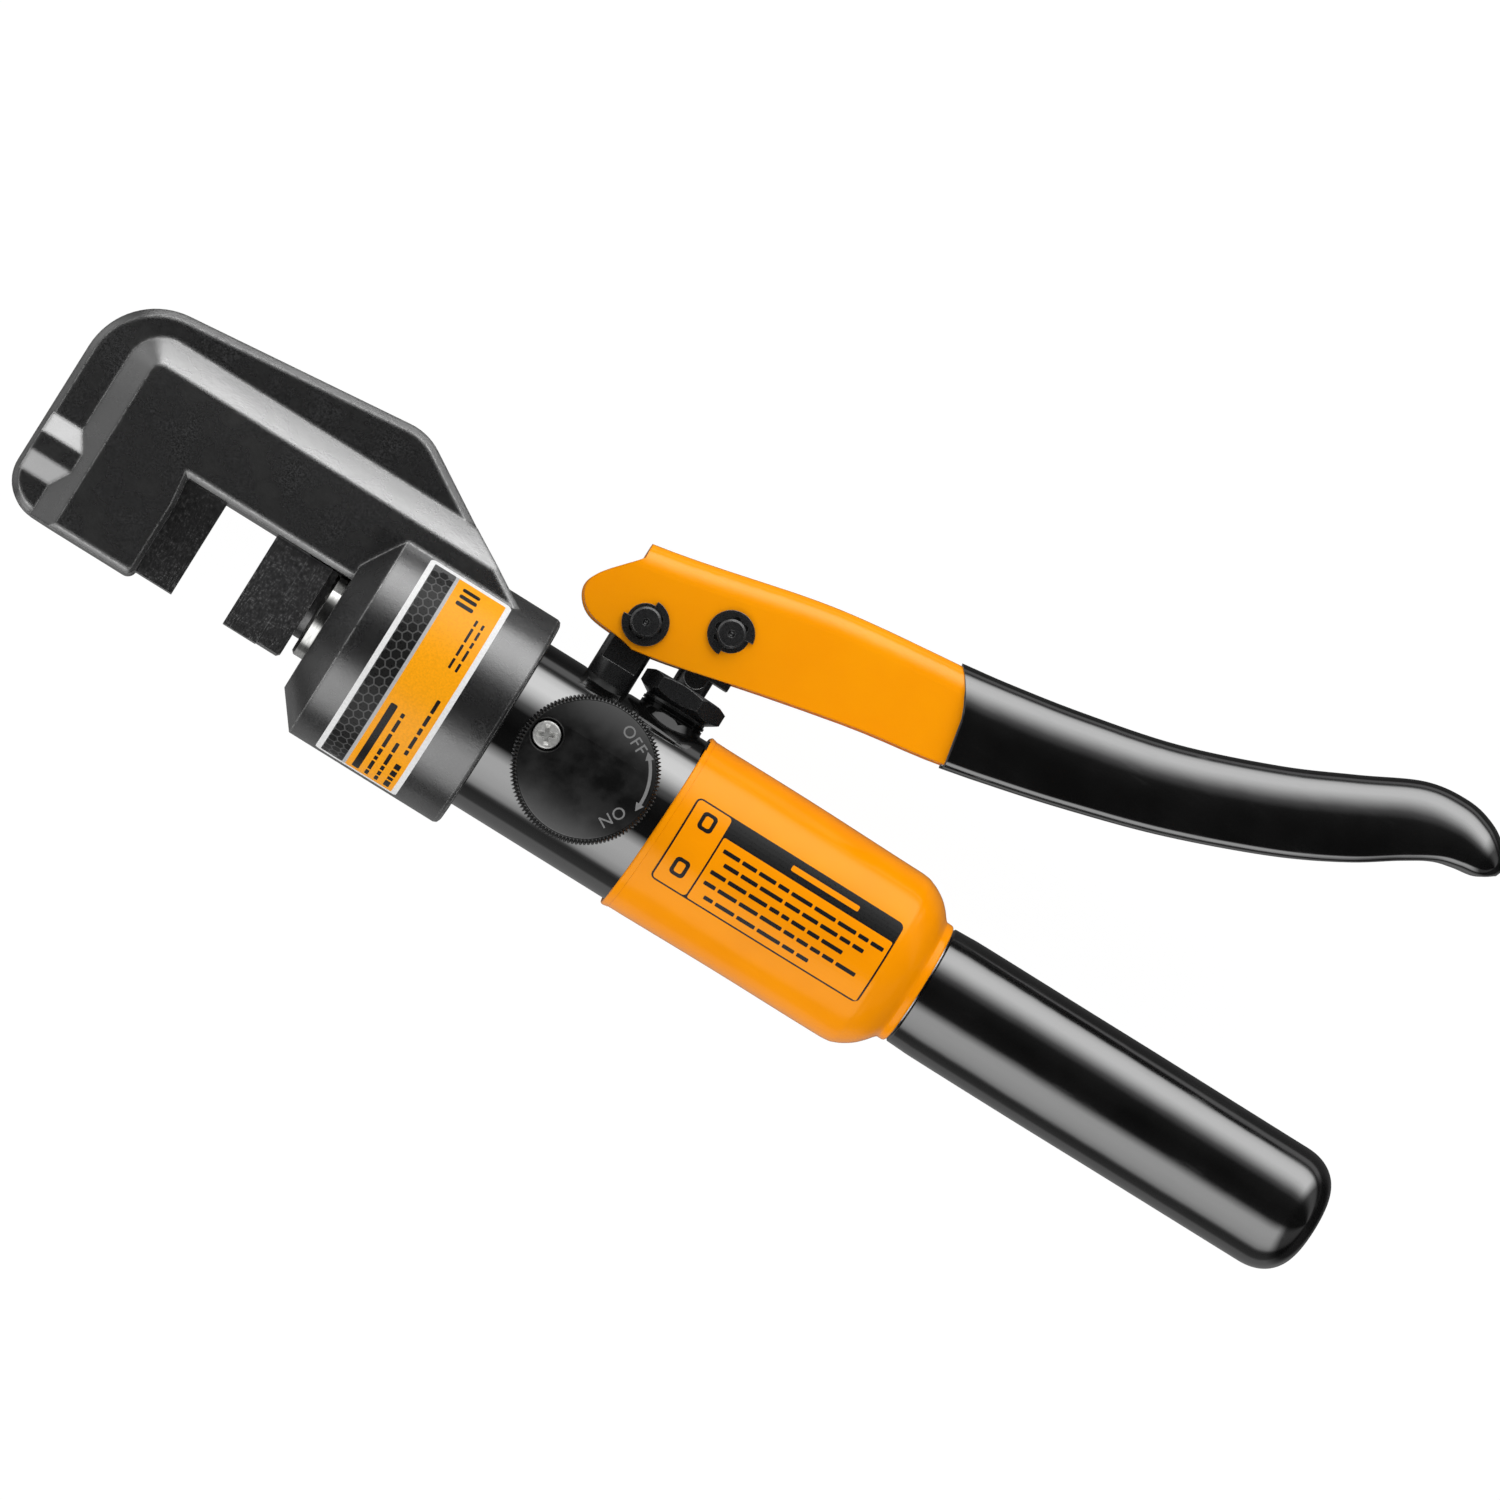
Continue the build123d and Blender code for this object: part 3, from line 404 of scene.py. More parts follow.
def metal(name, color, roughness, stretch=(1, 1, 1), feature=0.6, relief=0.003):
    """Bare metal with machining marks drawn out along one direction."""
    material, tree, shader = new_material(name, color, roughness, 1.0)
    marks = noise(tree, feature, 5.0, stretch)
    cloud = noise(tree, 6.0, 3.0)
    dull = tuple(0.72 * c for c in color)
    tint = blend_color(tree, spread(tree, marks, 0.35, 0.65), dull, color)
    tree.links.new(tint, shader.inputs["Base Color"])
    uneven = spread(tree, cloud, 0.35, 0.65, roughness * 0.75, roughness * 1.35)
    tree.links.new(uneven, shader.inputs["Roughness"])
    set_relief(tree, shader, [(marks, relief)], 0.15)
    return material


def ground_steel(name):
    """Dark ground tool steel with fine cross-hatched grinding scratches."""
    material, tree, shader = new_material(name, (0.03, 0.03, 0.031), 0.35, 0.0, 2.3)
    hatch = noise(tree, 0.32, 2.0, (1, 0.22, 1))
    cross = noise(tree, 0.32, 2.0, (0.22, 1, 1))
    cloud = noise(tree, 4.0, 3.0)
    both = math_node(tree, "MULTIPLY", spread(tree, hatch, 0.48, 0.60), spread(tree, cross, 0.46, 0.58))
    scratched = math_node(tree, "MULTIPLY", both, spread(tree, cloud, 0.36, 0.52))
    edge = math_node(tree, "MULTIPLY", edge_wear(tree, 0.25, 0.05, 0.3), spread(tree, cloud, 0.4, 0.55))
    dark = blend_color(tree, cloud, (0.008, 0.008, 0.0085), (0.016, 0.016, 0.0165))
    worn = blend_color(tree, scratched, dark, (0.11, 0.11, 0.11))
    tree.links.new(blend_color(tree, edge, worn, (0.22, 0.22, 0.22)), shader.inputs["Base Color"])
    tree.links.new(spread(tree, hatch, 0.3, 0.7, 0.28, 0.42), shader.inputs["Roughness"])
    set_relief(tree, shader, [(hatch, 0.008), (cross, 0.004)], 0.18)
    return material


def rubber(name):
    """Matt black rubber with a fine grain."""
    material, tree, shader = new_material(name, (0.015, 0.015, 0.015), 0.55)
    grain = noise(tree, 0.7, 3.0)
    tree.links.new(spread(tree, grain, 0.3, 0.7, 0.45, 0.62), shader.inputs["Roughness"])
    set_relief(tree, shader, [(grain, 0.01)])
    return material


def yellow_paint(name):
    """Glossy yellow-orange powder coat with a fine orange peel, darkened along the edges as painted shade."""
    material, tree, shader = new_material(name, (0.90, 0.31, 0.0), 0.24)
    peel = noise(tree, 1.1, 2.0)
    cloud = noise(tree, 22.0, 3.0)
    edge = edge_wear(tree, 1.0, 0.02, 0.3)
    flat = blend_color(tree, spread(tree, cloud, 0.35, 0.65), (0.98, 0.325, 0.0), (1.0, 0.35, 0.0))
    shader.inputs["Specular IOR Level"].default_value = 0.55
    shader.inputs["Specular Tint"].default_value = (1.0, 0.88, 0.6, 1)
    # Painted shade: the colour darkens to a deep orange along the edges.
    color = blend_color(tree, math_node(tree, "MULTIPLY", edge, 0.7), flat, (0.50, 0.14, 0.0))
    tree.links.new(color, shader.inputs["Base Color"])
    tree.links.new(spread(tree, peel, 0.3, 0.7, 0.11, 0.17), shader.inputs["Roughness"])
    set_relief(tree, shader, [(peel, 0.004)], 0.4)
    return material


def dipped(name, low, high, roughness, ior, tint=(1.0, 1.0, 1.0)):
    """Dipped PVC: glossy, slightly wavy, with a soft grain and faint handling marks."""
    material, tree, shader = new_material(name, low, roughness, 0.0, ior)
    shader.inputs["Specular Tint"].default_value = (*tint, 1)
    waves = noise(tree, 16.0, 2.0)
    grain = noise(tree, 0.9, 3.0)
    rubs = noise(tree, 2.2, 4.0, (0.12, 1, 1))
    tree.links.new(blend_color(tree, spread(tree, waves, 0.35, 0.65), low, high), shader.inputs["Base Color"])
    marks = math_node(tree, "MULTIPLY", spread(tree, rubs, 0.55, 0.72), spread(tree, waves, 0.4, 0.6))
    tree.links.new(spread(tree, marks, 0.0, 1.0, roughness, roughness + 0.12), shader.inputs["Roughness"])
    set_relief(tree, shader, [(waves, 0.10), (grain, 0.003)])
    return material


def ink(name, color, roughness=0.35):
    """Printing ink with a slight unevenness."""
    material, tree, shader = new_material(name, color, roughness, 0.0, 1.3)
    speck = noise(tree, 0.6, 2.0)
    thin = tuple(c * 0.88 for c in color)
    tint = blend_color(tree, spread(tree, speck, 0.35, 0.65), thin, color)
    tree.links.new(tint, shader.inputs["Base Color"])
    uneven = spread(tree, speck, 0.3, 0.7, roughness * 0.85, roughness * 1.15)
    tree.links.new(uneven, shader.inputs["Roughness"])
    return material


MATERIALS = {
    "head_black_oxide": forged_black("head_black_oxide"),
    "blade_steel": ground_steel("blade_steel"),
    "bright_steel": metal("bright_steel", (0.74, 0.74, 0.72), 0.16, (1, 0.15, 0.15), 0.5),
    "body_black": gloss_black("body_black"),
    "small_black_oxide": small_black("small_black_oxide"),
    "spring_steel": metal("spring_steel", (0.35, 0.35, 0.36), 0.3),
    "knob_black": knob_black("knob_black"),
    "bronze": metal("bronze", (0.55, 0.36, 0.16), 0.3),
    "tube_alloy": metal("tube_alloy", (0.6, 0.6, 0.61), 0.28, (0.1, 1, 1)),
    "seal_rubber": rubber("seal_rubber"),
    "lever_yellow": yellow_paint("lever_yellow"),
    "sleeve_yellow": dipped("sleeve_yellow", (0.93, 0.295, 0.0), (0.97, 0.315, 0.0), 0.15, 1.42,
                            (1.0, 0.8, 0.4)),
    "grip_black": dipped("grip_black", (0.003, 0.003, 0.003), (0.006, 0.006, 0.006), 0.12, 2.3),
    "label_print": ink("label_print", (0.96, 0.37, 0.0)),
}
WHITE_INK = ink("white_ink", (0.80, 0.80, 0.80))
BLACK_INK = ink("black_ink", (0.012, 0.012, 0.012), 0.3)
CELL_INK = ink("cell_ink", (0.085, 0.085, 0.085), 0.3)
STRIP_INK = ink("strip_ink", (0.45, 0.45, 0.46), 0.3)
MARK_INK = ink("mark_ink", (0.20, 0.20, 0.20), 0.5)
SCREW_STEEL = metal("screw_steel", (0.75, 0.75, 0.73), 0.28, (1, 1, 1), 1.2, 0.09)
SCREW_STEEL.node_tree.nodes["Principled BSDF"].inputs["Metallic"].default_value = 0.6


def paint_nodes():
    """Covers every CAD node with its slot's material."""
    for part in frame["record"]["subparts"]:
        mesh = NODES[part["node"]].data
        mesh.materials.clear()
        mesh.materials.append(MATERIALS[part["material_slot"]])


# ------------------------------------------------------------------ mesh helpers
def make_piece(name, points, faces, materials, body, replaced=(), paints=None, sharp=40):
    """A finished piece from points in the tool's millimetres. paints gives each face's material."""
    mesh = bpy.data.meshes.new(name)
    mesh.from_pydata([tool(*p) for p in points], [], faces)
    for material in materials:
        mesh.materials.append(material)
    mesh.polygons.foreach_set("use_smooth", [True] * len(mesh.polygons))
    if paints:
        mesh.polygons.foreach_set("material_index", paints)
    mesh.set_sharp_from_angle(angle=math.radians(sharp))
    mesh.validate()
    piece = bpy.data.objects.new(name, mesh)
    bpy.context.scene.collection.objects.link(piece)
    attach(piece, body)
    if replaced:
        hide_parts(*replaced)
    return piece


def skin(rings, cap_start=True, cap_end=True, joined=False):
    """Points and faces of a skin over closed rings of equal length; joined adds last ring to first."""
    count = len(rings[0])
    points = [p for ring in rings for p in ring]
    faces = []
    for level in range(len(rings) if joined else len(rings) - 1):
        after = (level + 1) % len(rings)
        for k in range(count):
            a, b = level * count, after * count
            n = (k + 1) % count
            faces.append((a + k, a + n, b + n, b + k))
    if cap_start:
        faces.append(tuple(reversed(range(count))))
    if cap_end:
        last = (len(rings) - 1) * count
        faces.append(tuple(range(last, last + count)))
    return points, faces


def through(points, steps):
    """Smooth curve through points of any dimension, with that many steps between each two."""
    points = [Vector(p) for p in points]
    ends = [2 * points[0] - points[1]] + points + [2 * points[-1] - points[-2]]
    curve = []
    for i in range(1, len(ends) - 2):
        a, b, c, d = ends[i - 1:i + 3]
        for step in range(steps):
            t = step / steps
            curve.append(0.5 * (2 * b + (c - a) * t + (2 * a - 5 * b + 4 * c - d) * t * t
                                + (3 * b - a - 3 * c + d) * t ** 3))
    curve.append(points[-1])
    return curve


def lathe_rings(profile, radius_at, segments):
    """Rings about the tool axis; radius_at(x, r, angle) may vary the radius round the axis."""
    rings = []
    for x, r in profile:
        ring = []
        for k in range(segments):
            angle = 2 * math.pi * k / segments
            radius = radius_at(x, r, angle)
            ring.append((x, radius * math.sin(angle), radius * math.cos(angle)))
        rings.append(ring)
    return rings


def circle(centre, radius, z, count):
    """Points of a level circle, in millimetres."""
    return [(centre.x + radius * math.cos(2 * math.pi * k / count),
             centre.y + radius * math.sin(2 * math.pi * k / count), z) for k in range(count)]


def fill_between(points, faces, outer, hole):
    """Adds the flat face between an outer loop and a hole, both counted anticlockwise from above."""
    index = outer + list(reversed(hole))
    loops = [[Vector(points[i]) for i in outer], [Vector(points[i]) for i in reversed(hole)]]
    for triangle in tessellate_polygon(loops):
        corners = [index[i] for i in triangle]
        a, b, c = (Vector(points[i]) for i in corners)
        faces.append(tuple(corners) if (b - a).cross(c - a).z > 0 else tuple(reversed(corners)))


# ------------------------------------------------------------------ rear grip
GRIP_R = size_mm("handle_grip").y / 2
GRIP_END_X = (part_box("handle_grip")[1].x - ORIGIN.x) / MM
GRIP_START_X = (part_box("handle_grip")[0].x - ORIGIN.x) / MM
DOME_LENGTH = 12.2
DOME_STEPS = 32
GRIP_SEGMENTS = 144


def make_handle_grip():
    """Dipped rear grip: a slight flare at its mouth, a long barrel and a full domed end."""
    mouth = [(GRIP_START_X, 14.9), (GRIP_START_X, 16.2), (GRIP_START_X + 0.4, 16.7)]
    barrel = [(GRIP_START_X + 4, 16.85), (GRIP_START_X + 12, GRIP_R), (GRIP_START_X + 60, GRIP_R)]
    shoulder_x = GRIP_END_X - DOME_LENGTH
    dome = []
    for k in range(DOME_STEPS + 1):
        turn = math.pi / 2 * k / DOME_STEPS
        dome.append((shoulder_x + DOME_LENGTH * math.sin(turn) ** 0.92,
                     max(GRIP_R * math.cos(turn) ** 0.62, 0.02)))
    profile = mouth + [tuple(p) for p in through(barrel, 6)] + [(shoulder_x - 4, GRIP_R)] + dome

    def radius_at(x, r, angle):
        sag = 0.05 * math.sin(2 * angle + x / 30) + 0.03 * math.sin(3 * angle - x / 11)
        return r + sag * min(1.0, (GRIP_END_X - x) / 20)

    points, faces = skin(lathe_rings(profile, radius_at, GRIP_SEGMENTS))
    make_piece("rear_grip_skin", points, faces, [MATERIALS["grip_black"]], "frame",
               ["handle_grip"])


# ------------------------------------------------------------------ sleeve and its printed panel
SLEEVE_R = 25.0
SLEEVE_SEGMENTS = 180
MOUTH_X = 20.8
MOUTH_REACH = 9
# Axis of the gland boss along X, and the radius that the sleeve's mouth keeps clear of it.
BOSS_X = 10.9
BOSS_CLEAR = 11.7
SLEEVE_PROFILE = [
    (21.0, 24.35), (20.85, 24.8), (21.0, 25.2), (21.6, 25.4), (22.8, 25.2), (25, 25.05), (50, 24.9),
    (80, 24.7), (87.6, 24.55), (90.4, 23.8), (92.6, 22.7), (94.6, 21.3), (96.4, 19.5), (97.7, 17.9),
    (98.5, 17.15), (99.2, 17.1), (100.0, 17.05), (100.5, 16.8), (100.6, 16.35), (99.5, 16.2), (97.2, 16.3),
]
# Inside of the sleeve, from its neck back to its mouth.
SLEEVE_LINING = [(95.2, 17.0), (92.0, 20.0), (88.2, 22.8), (84.2, 23.98), (60.0, 23.98), (30.0, 23.98),
                 (25.0, 23.98), (22.6, 24.0)]


def sleeve_radius(x, r, angle):
    """The dipped sleeve is never quite round: long waves on the barrel, short ones on the neck."""
    wave = 0.07 * math.sin(3 * angle + x / 14) + 0.05 * math.sin(5 * angle - x / 9)
    neck = max(0.0, 1 - abs(x - 96.5) / 6)
    crease = 0.16 * neck * math.sin(9 * angle + 1.2 * math.sin(2 * angle))
    return r + (wave if x > 26 else 0.0) + crease


def barrel_radius(x):
    """Radius of the sleeve's outside at x, between its mouth and its neck."""
    profile = through(SLEEVE_PROFILE[3:15], 8)
    after = next(k for k, p in enumerate(profile) if p.x >= x)
    before = profile[after - 1]
    share = (x - before.x) / (profile[after].x - before.x)
    return before.y + (profile[after].y - before.y) * share


def make_sleeve():
    """Dipped sleeve over the pump body and the start of the handle, with its inner wall."""
    profile = [tuple(p) for p in through(SLEEVE_PROFILE, 8)]
    rings = []
    lining = lathe_rings(SLEEVE_LINING, lambda x, r, angle: r, SLEEVE_SEGMENTS)
    for ring in lathe_rings(profile, sleeve_radius, SLEEVE_SEGMENTS) + lining:
        moved = []
        for x, y, z in ring:
            # The mouth clears the gland boss and leans back a little towards the lever.
            near_mouth = max(0.0, 1 - (x - MOUTH_X) / MOUTH_REACH)
            x += near_mouth * (0.55 + 0.035 * y)
            if y > 0 and abs(z) < BOSS_CLEAR:
                notch = BOSS_X + math.sqrt(BOSS_CLEAR ** 2 - z ** 2)
                x = max(x, notch + 0.12 * (x - MOUTH_X))
            moved.append((x, y, z))
        rings.append(moved)
    points, faces = skin(rings, cap_start=False, cap_end=False, joined=True)
    piece = make_piece("sleeve_skin", points, faces, [MATERIALS["sleeve_yellow"]], "frame",
                       ["body_sleeve"], sharp=180)
    piece.visible_glossy = False


# Printed shapes are cut into cells of about this size, in millimetres; each layer lies LAYER above the last.
CELL_X, CELL_V = 1.6, 1.2
CORNER_STEPS = 6
LAYER = 0.03


def decal(name, surface, shapes, materials, replaced=()):
    """Printed shapes laid on a surface; a shape is (strips of outline points, layer, material index)."""
    points = []
    faces = []
    paints = []
    for strips, layer, paint in shapes:
        lift = LAYER * (1 + layer)
        for strip in strips:
            first = len(points)
            points.extend(surface(x, v, lift) for x, v in strip)
            faces.append(tuple(range(first, first + len(strip))))
            paints.append(paint)
    make_piece(name, points, faces, materials, "frame", replaced, paints, sharp=180)


def patch(x0, x1, v0, v1, layer, paint, corner=0.0):
    """Rounded rectangle, cut into small cells so that it follows a curved surface."""
    levels = [v0]
    steps = max(1, round((v1 - v0 - 2 * corner) / CELL_V))
    turns = [math.pi / 2 * k / CORNER_STEPS for k in range(1, CORNER_STEPS + 1)]
    if corner:
        levels += [v0 + corner * (1 - math.cos(turn)) for turn in turns]
    levels += [v0 + corner + (v1 - v0 - 2 * corner) * k / steps for k in range(1, steps + 1)]
    if corner:
        levels += [v1 - corner * (1 - math.sin(turn)) for turn in turns]

    def inset(v):
        depth = max(corner - (v - v0), corner - (v1 - v), 0.0)
        return corner - math.sqrt(max(corner ** 2 - depth ** 2, 0.0))

    strips = []
    for low, high in zip(levels, levels[1:]):
        a, b = inset(low), inset(high)
        cuts = max(1, round((x1 - x0) / CELL_X))
        for k in range(cuts):
            s, t = k / cuts, (k + 1) / cuts
            strips.append([(x0 + a + (x1 - x0 - 2 * a) * s, low), (x0 + a + (x1 - x0 - 2 * a) * t, low),
                           (x0 + b + (x1 - x0 - 2 * b) * t, high), (x0 + b + (x1 - x0 - 2 * b) * s, high)])
    return strips, layer, paint


def dashes(start, end, seed, longest=7.0):
    """Ruled dashes of uneven length between two places, as (from, to) pairs."""
    shortest, gap = 1.2, 0.8
    rng = random.Random(seed)
    found = []
    place = start
    while place < end - shortest:
        stop = min(place + rng.uniform(0.3, 1.0) * longest, end)
        found.append((place, stop))
        place = stop + gap
    return found


def make_sleeve_panel():
    """Printed field on the sleeve: a frame, a solid head band and plain ruled lines, with a painted shadow in
    the slit by the boss.
    """
    clear_of_sleeve = 0.05

    def surface(x, v, lift):
        angle = v / SLEEVE_R
        r = sleeve_radius(x, barrel_radius(x), angle) + lift + clear_of_sleeve
        return (x, r * math.sin(angle), r * math.cos(angle))

    low, high, band = (math.radians(angle) * SLEEVE_R for angle in (-32.4, 24.2, 10.9))
    left, right, divider = 26.6, 88.2, 37.2
    line = 0.5
    shapes = [
        patch(left, right, low, high, 0, 1, 1.6),
        patch(left + line, divider - line / 2, low + line, high - line, 1, 0, 1.1),
        patch(divider + line / 2, right - line, low + line, band, 1, 0, 0.5),
    ]
    # Two empty rings stand where the sleeve shows symbols, and a bar in the head band for its heading.
    shapes += [patch(left + 3.2, divider - 3.2, a, b, 2, 1, 1.2) for a, b in ((3.2, 8.2), (-10.2, -5.2))]
    shapes += [patch(left + 4.2, divider - 4.2, a, b, 3, 0, 0.6) for a, b in ((4.2, 7.2), (-9.2, -6.2))]
    shapes.append(patch(56, 76, band + 1.9, band + 3.5, 2, 0, 0.4))
    rows = ((4.0, 39.0, 86.6), (-2.9, 41.0, 82.5), (-10.0, 39.0, 79.0), (-17.3, 39.0, 84.0),
            (-25.2, 41.0, 73.0))
    for number, (angle, start, end) in enumerate(rows):
        v = math.radians(angle) * SLEEVE_R
        for a, b in dashes(start, end, 10 + number):
            shapes.append(patch(a, b, v - 0.55, v + 0.55, 2, 1, 0.25))
    # Black ink as painted shadow in the slit where the dipped sleeve parts beside the boss.
    shapes.append(patch(21.9, 22.9, 25.2, 31.0, 2, 1, 0.45))
    decal("sleeve_panel", surface, shapes, [MATERIALS["sleeve_yellow"], BLACK_INK])


# ------------------------------------------------------------------ rating label on the collar
COLLAR_R = size_mm("cutter_head").z / 2
LABEL_R = COLLAR_R + 0.10


def make_label():
    """Foil label wrapped round the collar: white edge, a dark honeycomb band and a yellow field."""
    def surface(x, v, lift):
        angle = v / LABEL_R
        return (x, (LABEL_R + lift) * math.sin(angle), (LABEL_R + lift) * math.cos(angle))

    left, right = -62.2, -38.3
    low, high = math.radians(-79.0) * LABEL_R, math.radians(58.6) * LABEL_R
    strip_start, strip_stop = -54.4, -53.5
    edge = 1.5
    cell = 1.55
    inner = 0.86 * cell
    shapes = [
        patch(left, right, low, high, 0, 0, 1.5),
        patch(left + edge, strip_start, low + edge, high - edge, 1, 2, 0.4),
        patch(strip_start, strip_stop, low + edge, high - edge, 1, 3),
        patch(strip_stop, right - edge, low + edge, high - edge, 1, 4, 0.4),
    ]
    across = math.sqrt(3) * cell
    rows = int((high - low - 2 * edge) / across)
    for column in range(3):
        x = left + edge + 1.1 + column * 1.5 * cell
        for row in range(rows):
            v = low + edge + across * (row + 0.55 + 0.5 * (column % 2))
            if v > high - edge - across / 2:
                continue
            corners = []
            for k in range(6):
                turn = math.pi / 3 * k
                corner_x = min(max(x + inner * math.cos(turn), left + edge + 0.05), strip_start - 0.1)
                corners.append((corner_x, v + inner * math.sin(turn)))
            shapes.append(([corners], 2, 1))
    # Plain ruled lines stand where a maker prints its data.
    shapes.append(patch(-51.9, -49.9, low + 3.4, low + 31.0, 2, 1, 0.5))
    columns = ((-48.2, -47.2, 3.4, 30.0), (-45.4, -44.4, 3.4, 22.0), (-42.6, -41.0, 3.4, 17.0),
               (-42.4, -41.4, 20.0, 38.0), (-44.6, -43.9, 46.0, 62.0), (-42.6, -41.9, 46.0, 62.0))
    for number, (x0, x1, start, end) in enumerate(columns):
        for a, b in dashes(low + start, low + end, 40 + number, 5.0):
            shapes.append(patch(x0, x1, a, b, 2, 1, 0.2))
    for k in range(3):
        shapes.append(patch(-51.4, -46.4, high - 10.6 + 2.6 * k, high - 9.2 + 2.6 * k, 2, 1, 0.5))
    inks = [WHITE_INK, BLACK_INK, CELL_INK, STRIP_INK, MATERIALS["label_print"]]
    decal("label_foil", surface, shapes, inks, ["rating_label"])


# ------------------------------------------------------------------ release knob
KNOB_CENTRE = (middle("release_knob") - ORIGIN) / MM
KNOB_R = size_mm("release_knob").x / 2
KNOB_TOP = (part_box("release_knob")[1].z - ORIGIN.z) / MM
KNOB_BOTTOM = (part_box("release_knob")[0].z - ORIGIN.z) / MM
SCREW_CENTRE = (middle("knob_screw") - ORIGIN) / MM
SCREW_TOP = (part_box("knob_screw")[1].z - ORIGIN.z) / MM
TEETH = 116
KNURL_DEPTH = 0.42
FACE_DROP = 0.22
COUNTERBORE_R = 4.1
COUNTERBORE_FLOOR = 33.0
ROUND_STEPS = 48


def make_knob():
    """Knurled knob with a raised rim, a flat face and a counterbore for its screw."""
    count = TEETH * 6
    face_z = KNOB_TOP - FACE_DROP
    r = KNOB_R
    # Radius, height and share of the knurl's depth.
    profile = [
        (16.1, KNOB_BOTTOM + 2.6, 0), (16.1, KNOB_BOTTOM, 0), (r - 1.2, KNOB_BOTTOM, 0),
        (r - 0.8, KNOB_BOTTOM + 0.4, 0.5), (r - 0.42, KNOB_BOTTOM + 0.9, 1), (r - 0.42, KNOB_TOP - 1.5, 1),
        (r - 0.75, KNOB_TOP - 0.75, 1), (r - 1.15, KNOB_TOP - 0.3, 0.45), (r - 1.35, KNOB_TOP - 0.04, 0),
        (r - 1.5, KNOB_TOP, 0), (r - 1.7, KNOB_TOP - 0.06, 0), (r - 1.85, face_z, 0),
    ]
    rings = []
    for radius, z, knurl in profile:
        ring = []
        for k in range(count):
            turn = 2 * math.pi * k / count
            reach = radius + KNURL_DEPTH * knurl * math.cos(TEETH * turn)
            ring.append((KNOB_CENTRE.x + reach * math.cos(turn), KNOB_CENTRE.y + reach * math.sin(turn), z))
        rings.append(ring)
    points, faces = skin(rings, cap_start=False, cap_end=False)
    outer = list(range(len(points) - count, len(points)))
    sides = ROUND_STEPS
    mouth = len(points)
    chamfer = 0.35
    points += circle(SCREW_CENTRE, COUNTERBORE_R + chamfer, face_z, sides)
    points += circle(SCREW_CENTRE, COUNTERBORE_R, face_z - chamfer, sides)
    points += circle(SCREW_CENTRE, COUNTERBORE_R, COUNTERBORE_FLOOR, sides)
    fill_between(points, faces, outer, list(range(mouth, mouth + sides)))
    for level in range(2):
        for k in range(sides):
            a = mouth + level * sides + k
            b = mouth + level * sides + (k + 1) % sides
            faces.append((b, a, a + sides, b + sides))
    faces.append(tuple(range(mouth + 2 * sides, mouth + 3 * sides)))
    make_piece("knob_body", points, faces, [MATERIALS["knob_black"]], "knob",
               ["release_knob"], sharp=50)


def letters(text, centre, turn, height, z):
    """Points and faces of a short word, centred on a point and turned."""
    curve = bpy.data.curves.new(text, "FONT")
    curve.body = text
    curve.size = height * 1.38
    curve.align_x = "CENTER"
    curve.align_y = "CENTER"
    curve.offset = 0.02
    curve.space_character = 1.12
    holder = bpy.data.objects.new(text, curve)
    bpy.context.scene.collection.objects.link(holder)
    bpy.context.view_layer.update()
    evaluated = holder.evaluated_get(bpy.context.evaluated_depsgraph_get())
    mesh = bpy.data.meshes.new_from_object(evaluated)
    spin = Matrix.Rotation(turn, 3, "Z")
    points = [tuple(spin @ v.co + Vector((centre[0], centre[1], z))) for v in mesh.vertices]
    faces = [tuple(p.vertices) for p in mesh.polygons]
    bpy.data.objects.remove(holder)
    return points, faces


def make_knob_marks():
    """Open and closed marks of the release valve, with a two-headed arc arrow between them."""
    z = KNOB_TOP - FACE_DROP + 0.03
    cx, cy = KNOB_CENTRE.x, KNOB_CENTRE.y
    half_line, half_head, head_length = 0.42, 1.15, 2.2
    points, faces = [], []
    for text, place, degrees in (("OFF", (6.3, 12.6), -25.0), ("ON", (11.7, -6.6), -120.0)):
        more, cells = letters(text, (cx + place[0], cy + place[1]), math.radians(degrees), 3.1, z)
        faces += [tuple(i + len(points) for i in cell) for cell in cells]
        points += more
    radius, start, stop = 16.1, math.radians(-1.0), math.radians(40.0)
    steps = 20
    first = len(points)
    for k in range(steps + 1):
        turn = start + (stop - start) * k / steps
        for r in (radius - half_line, radius + half_line):
            points.append((cx + r * math.cos(turn), cy + r * math.sin(turn), z))
    for k in range(steps):
        a = first + 2 * k
        faces.append((a, a + 1, a + 3, a + 2))
    for turn, way in ((start, -1), (stop, 1)):
        first = len(points)
        tip = turn + way * head_length / radius
        points.append((cx + radius * math.cos(tip), cy + radius * math.sin(tip), z))
        for r in (radius - half_head, radius + half_head):
            points.append((cx + r * math.cos(turn), cy + r * math.sin(turn), z))
        faces.append((first, first + 1, first + 2) if way < 0 else (first, first + 2, first + 1))
    make_piece("knob_marks", points, faces, [MARK_INK], "knob", sharp=180)


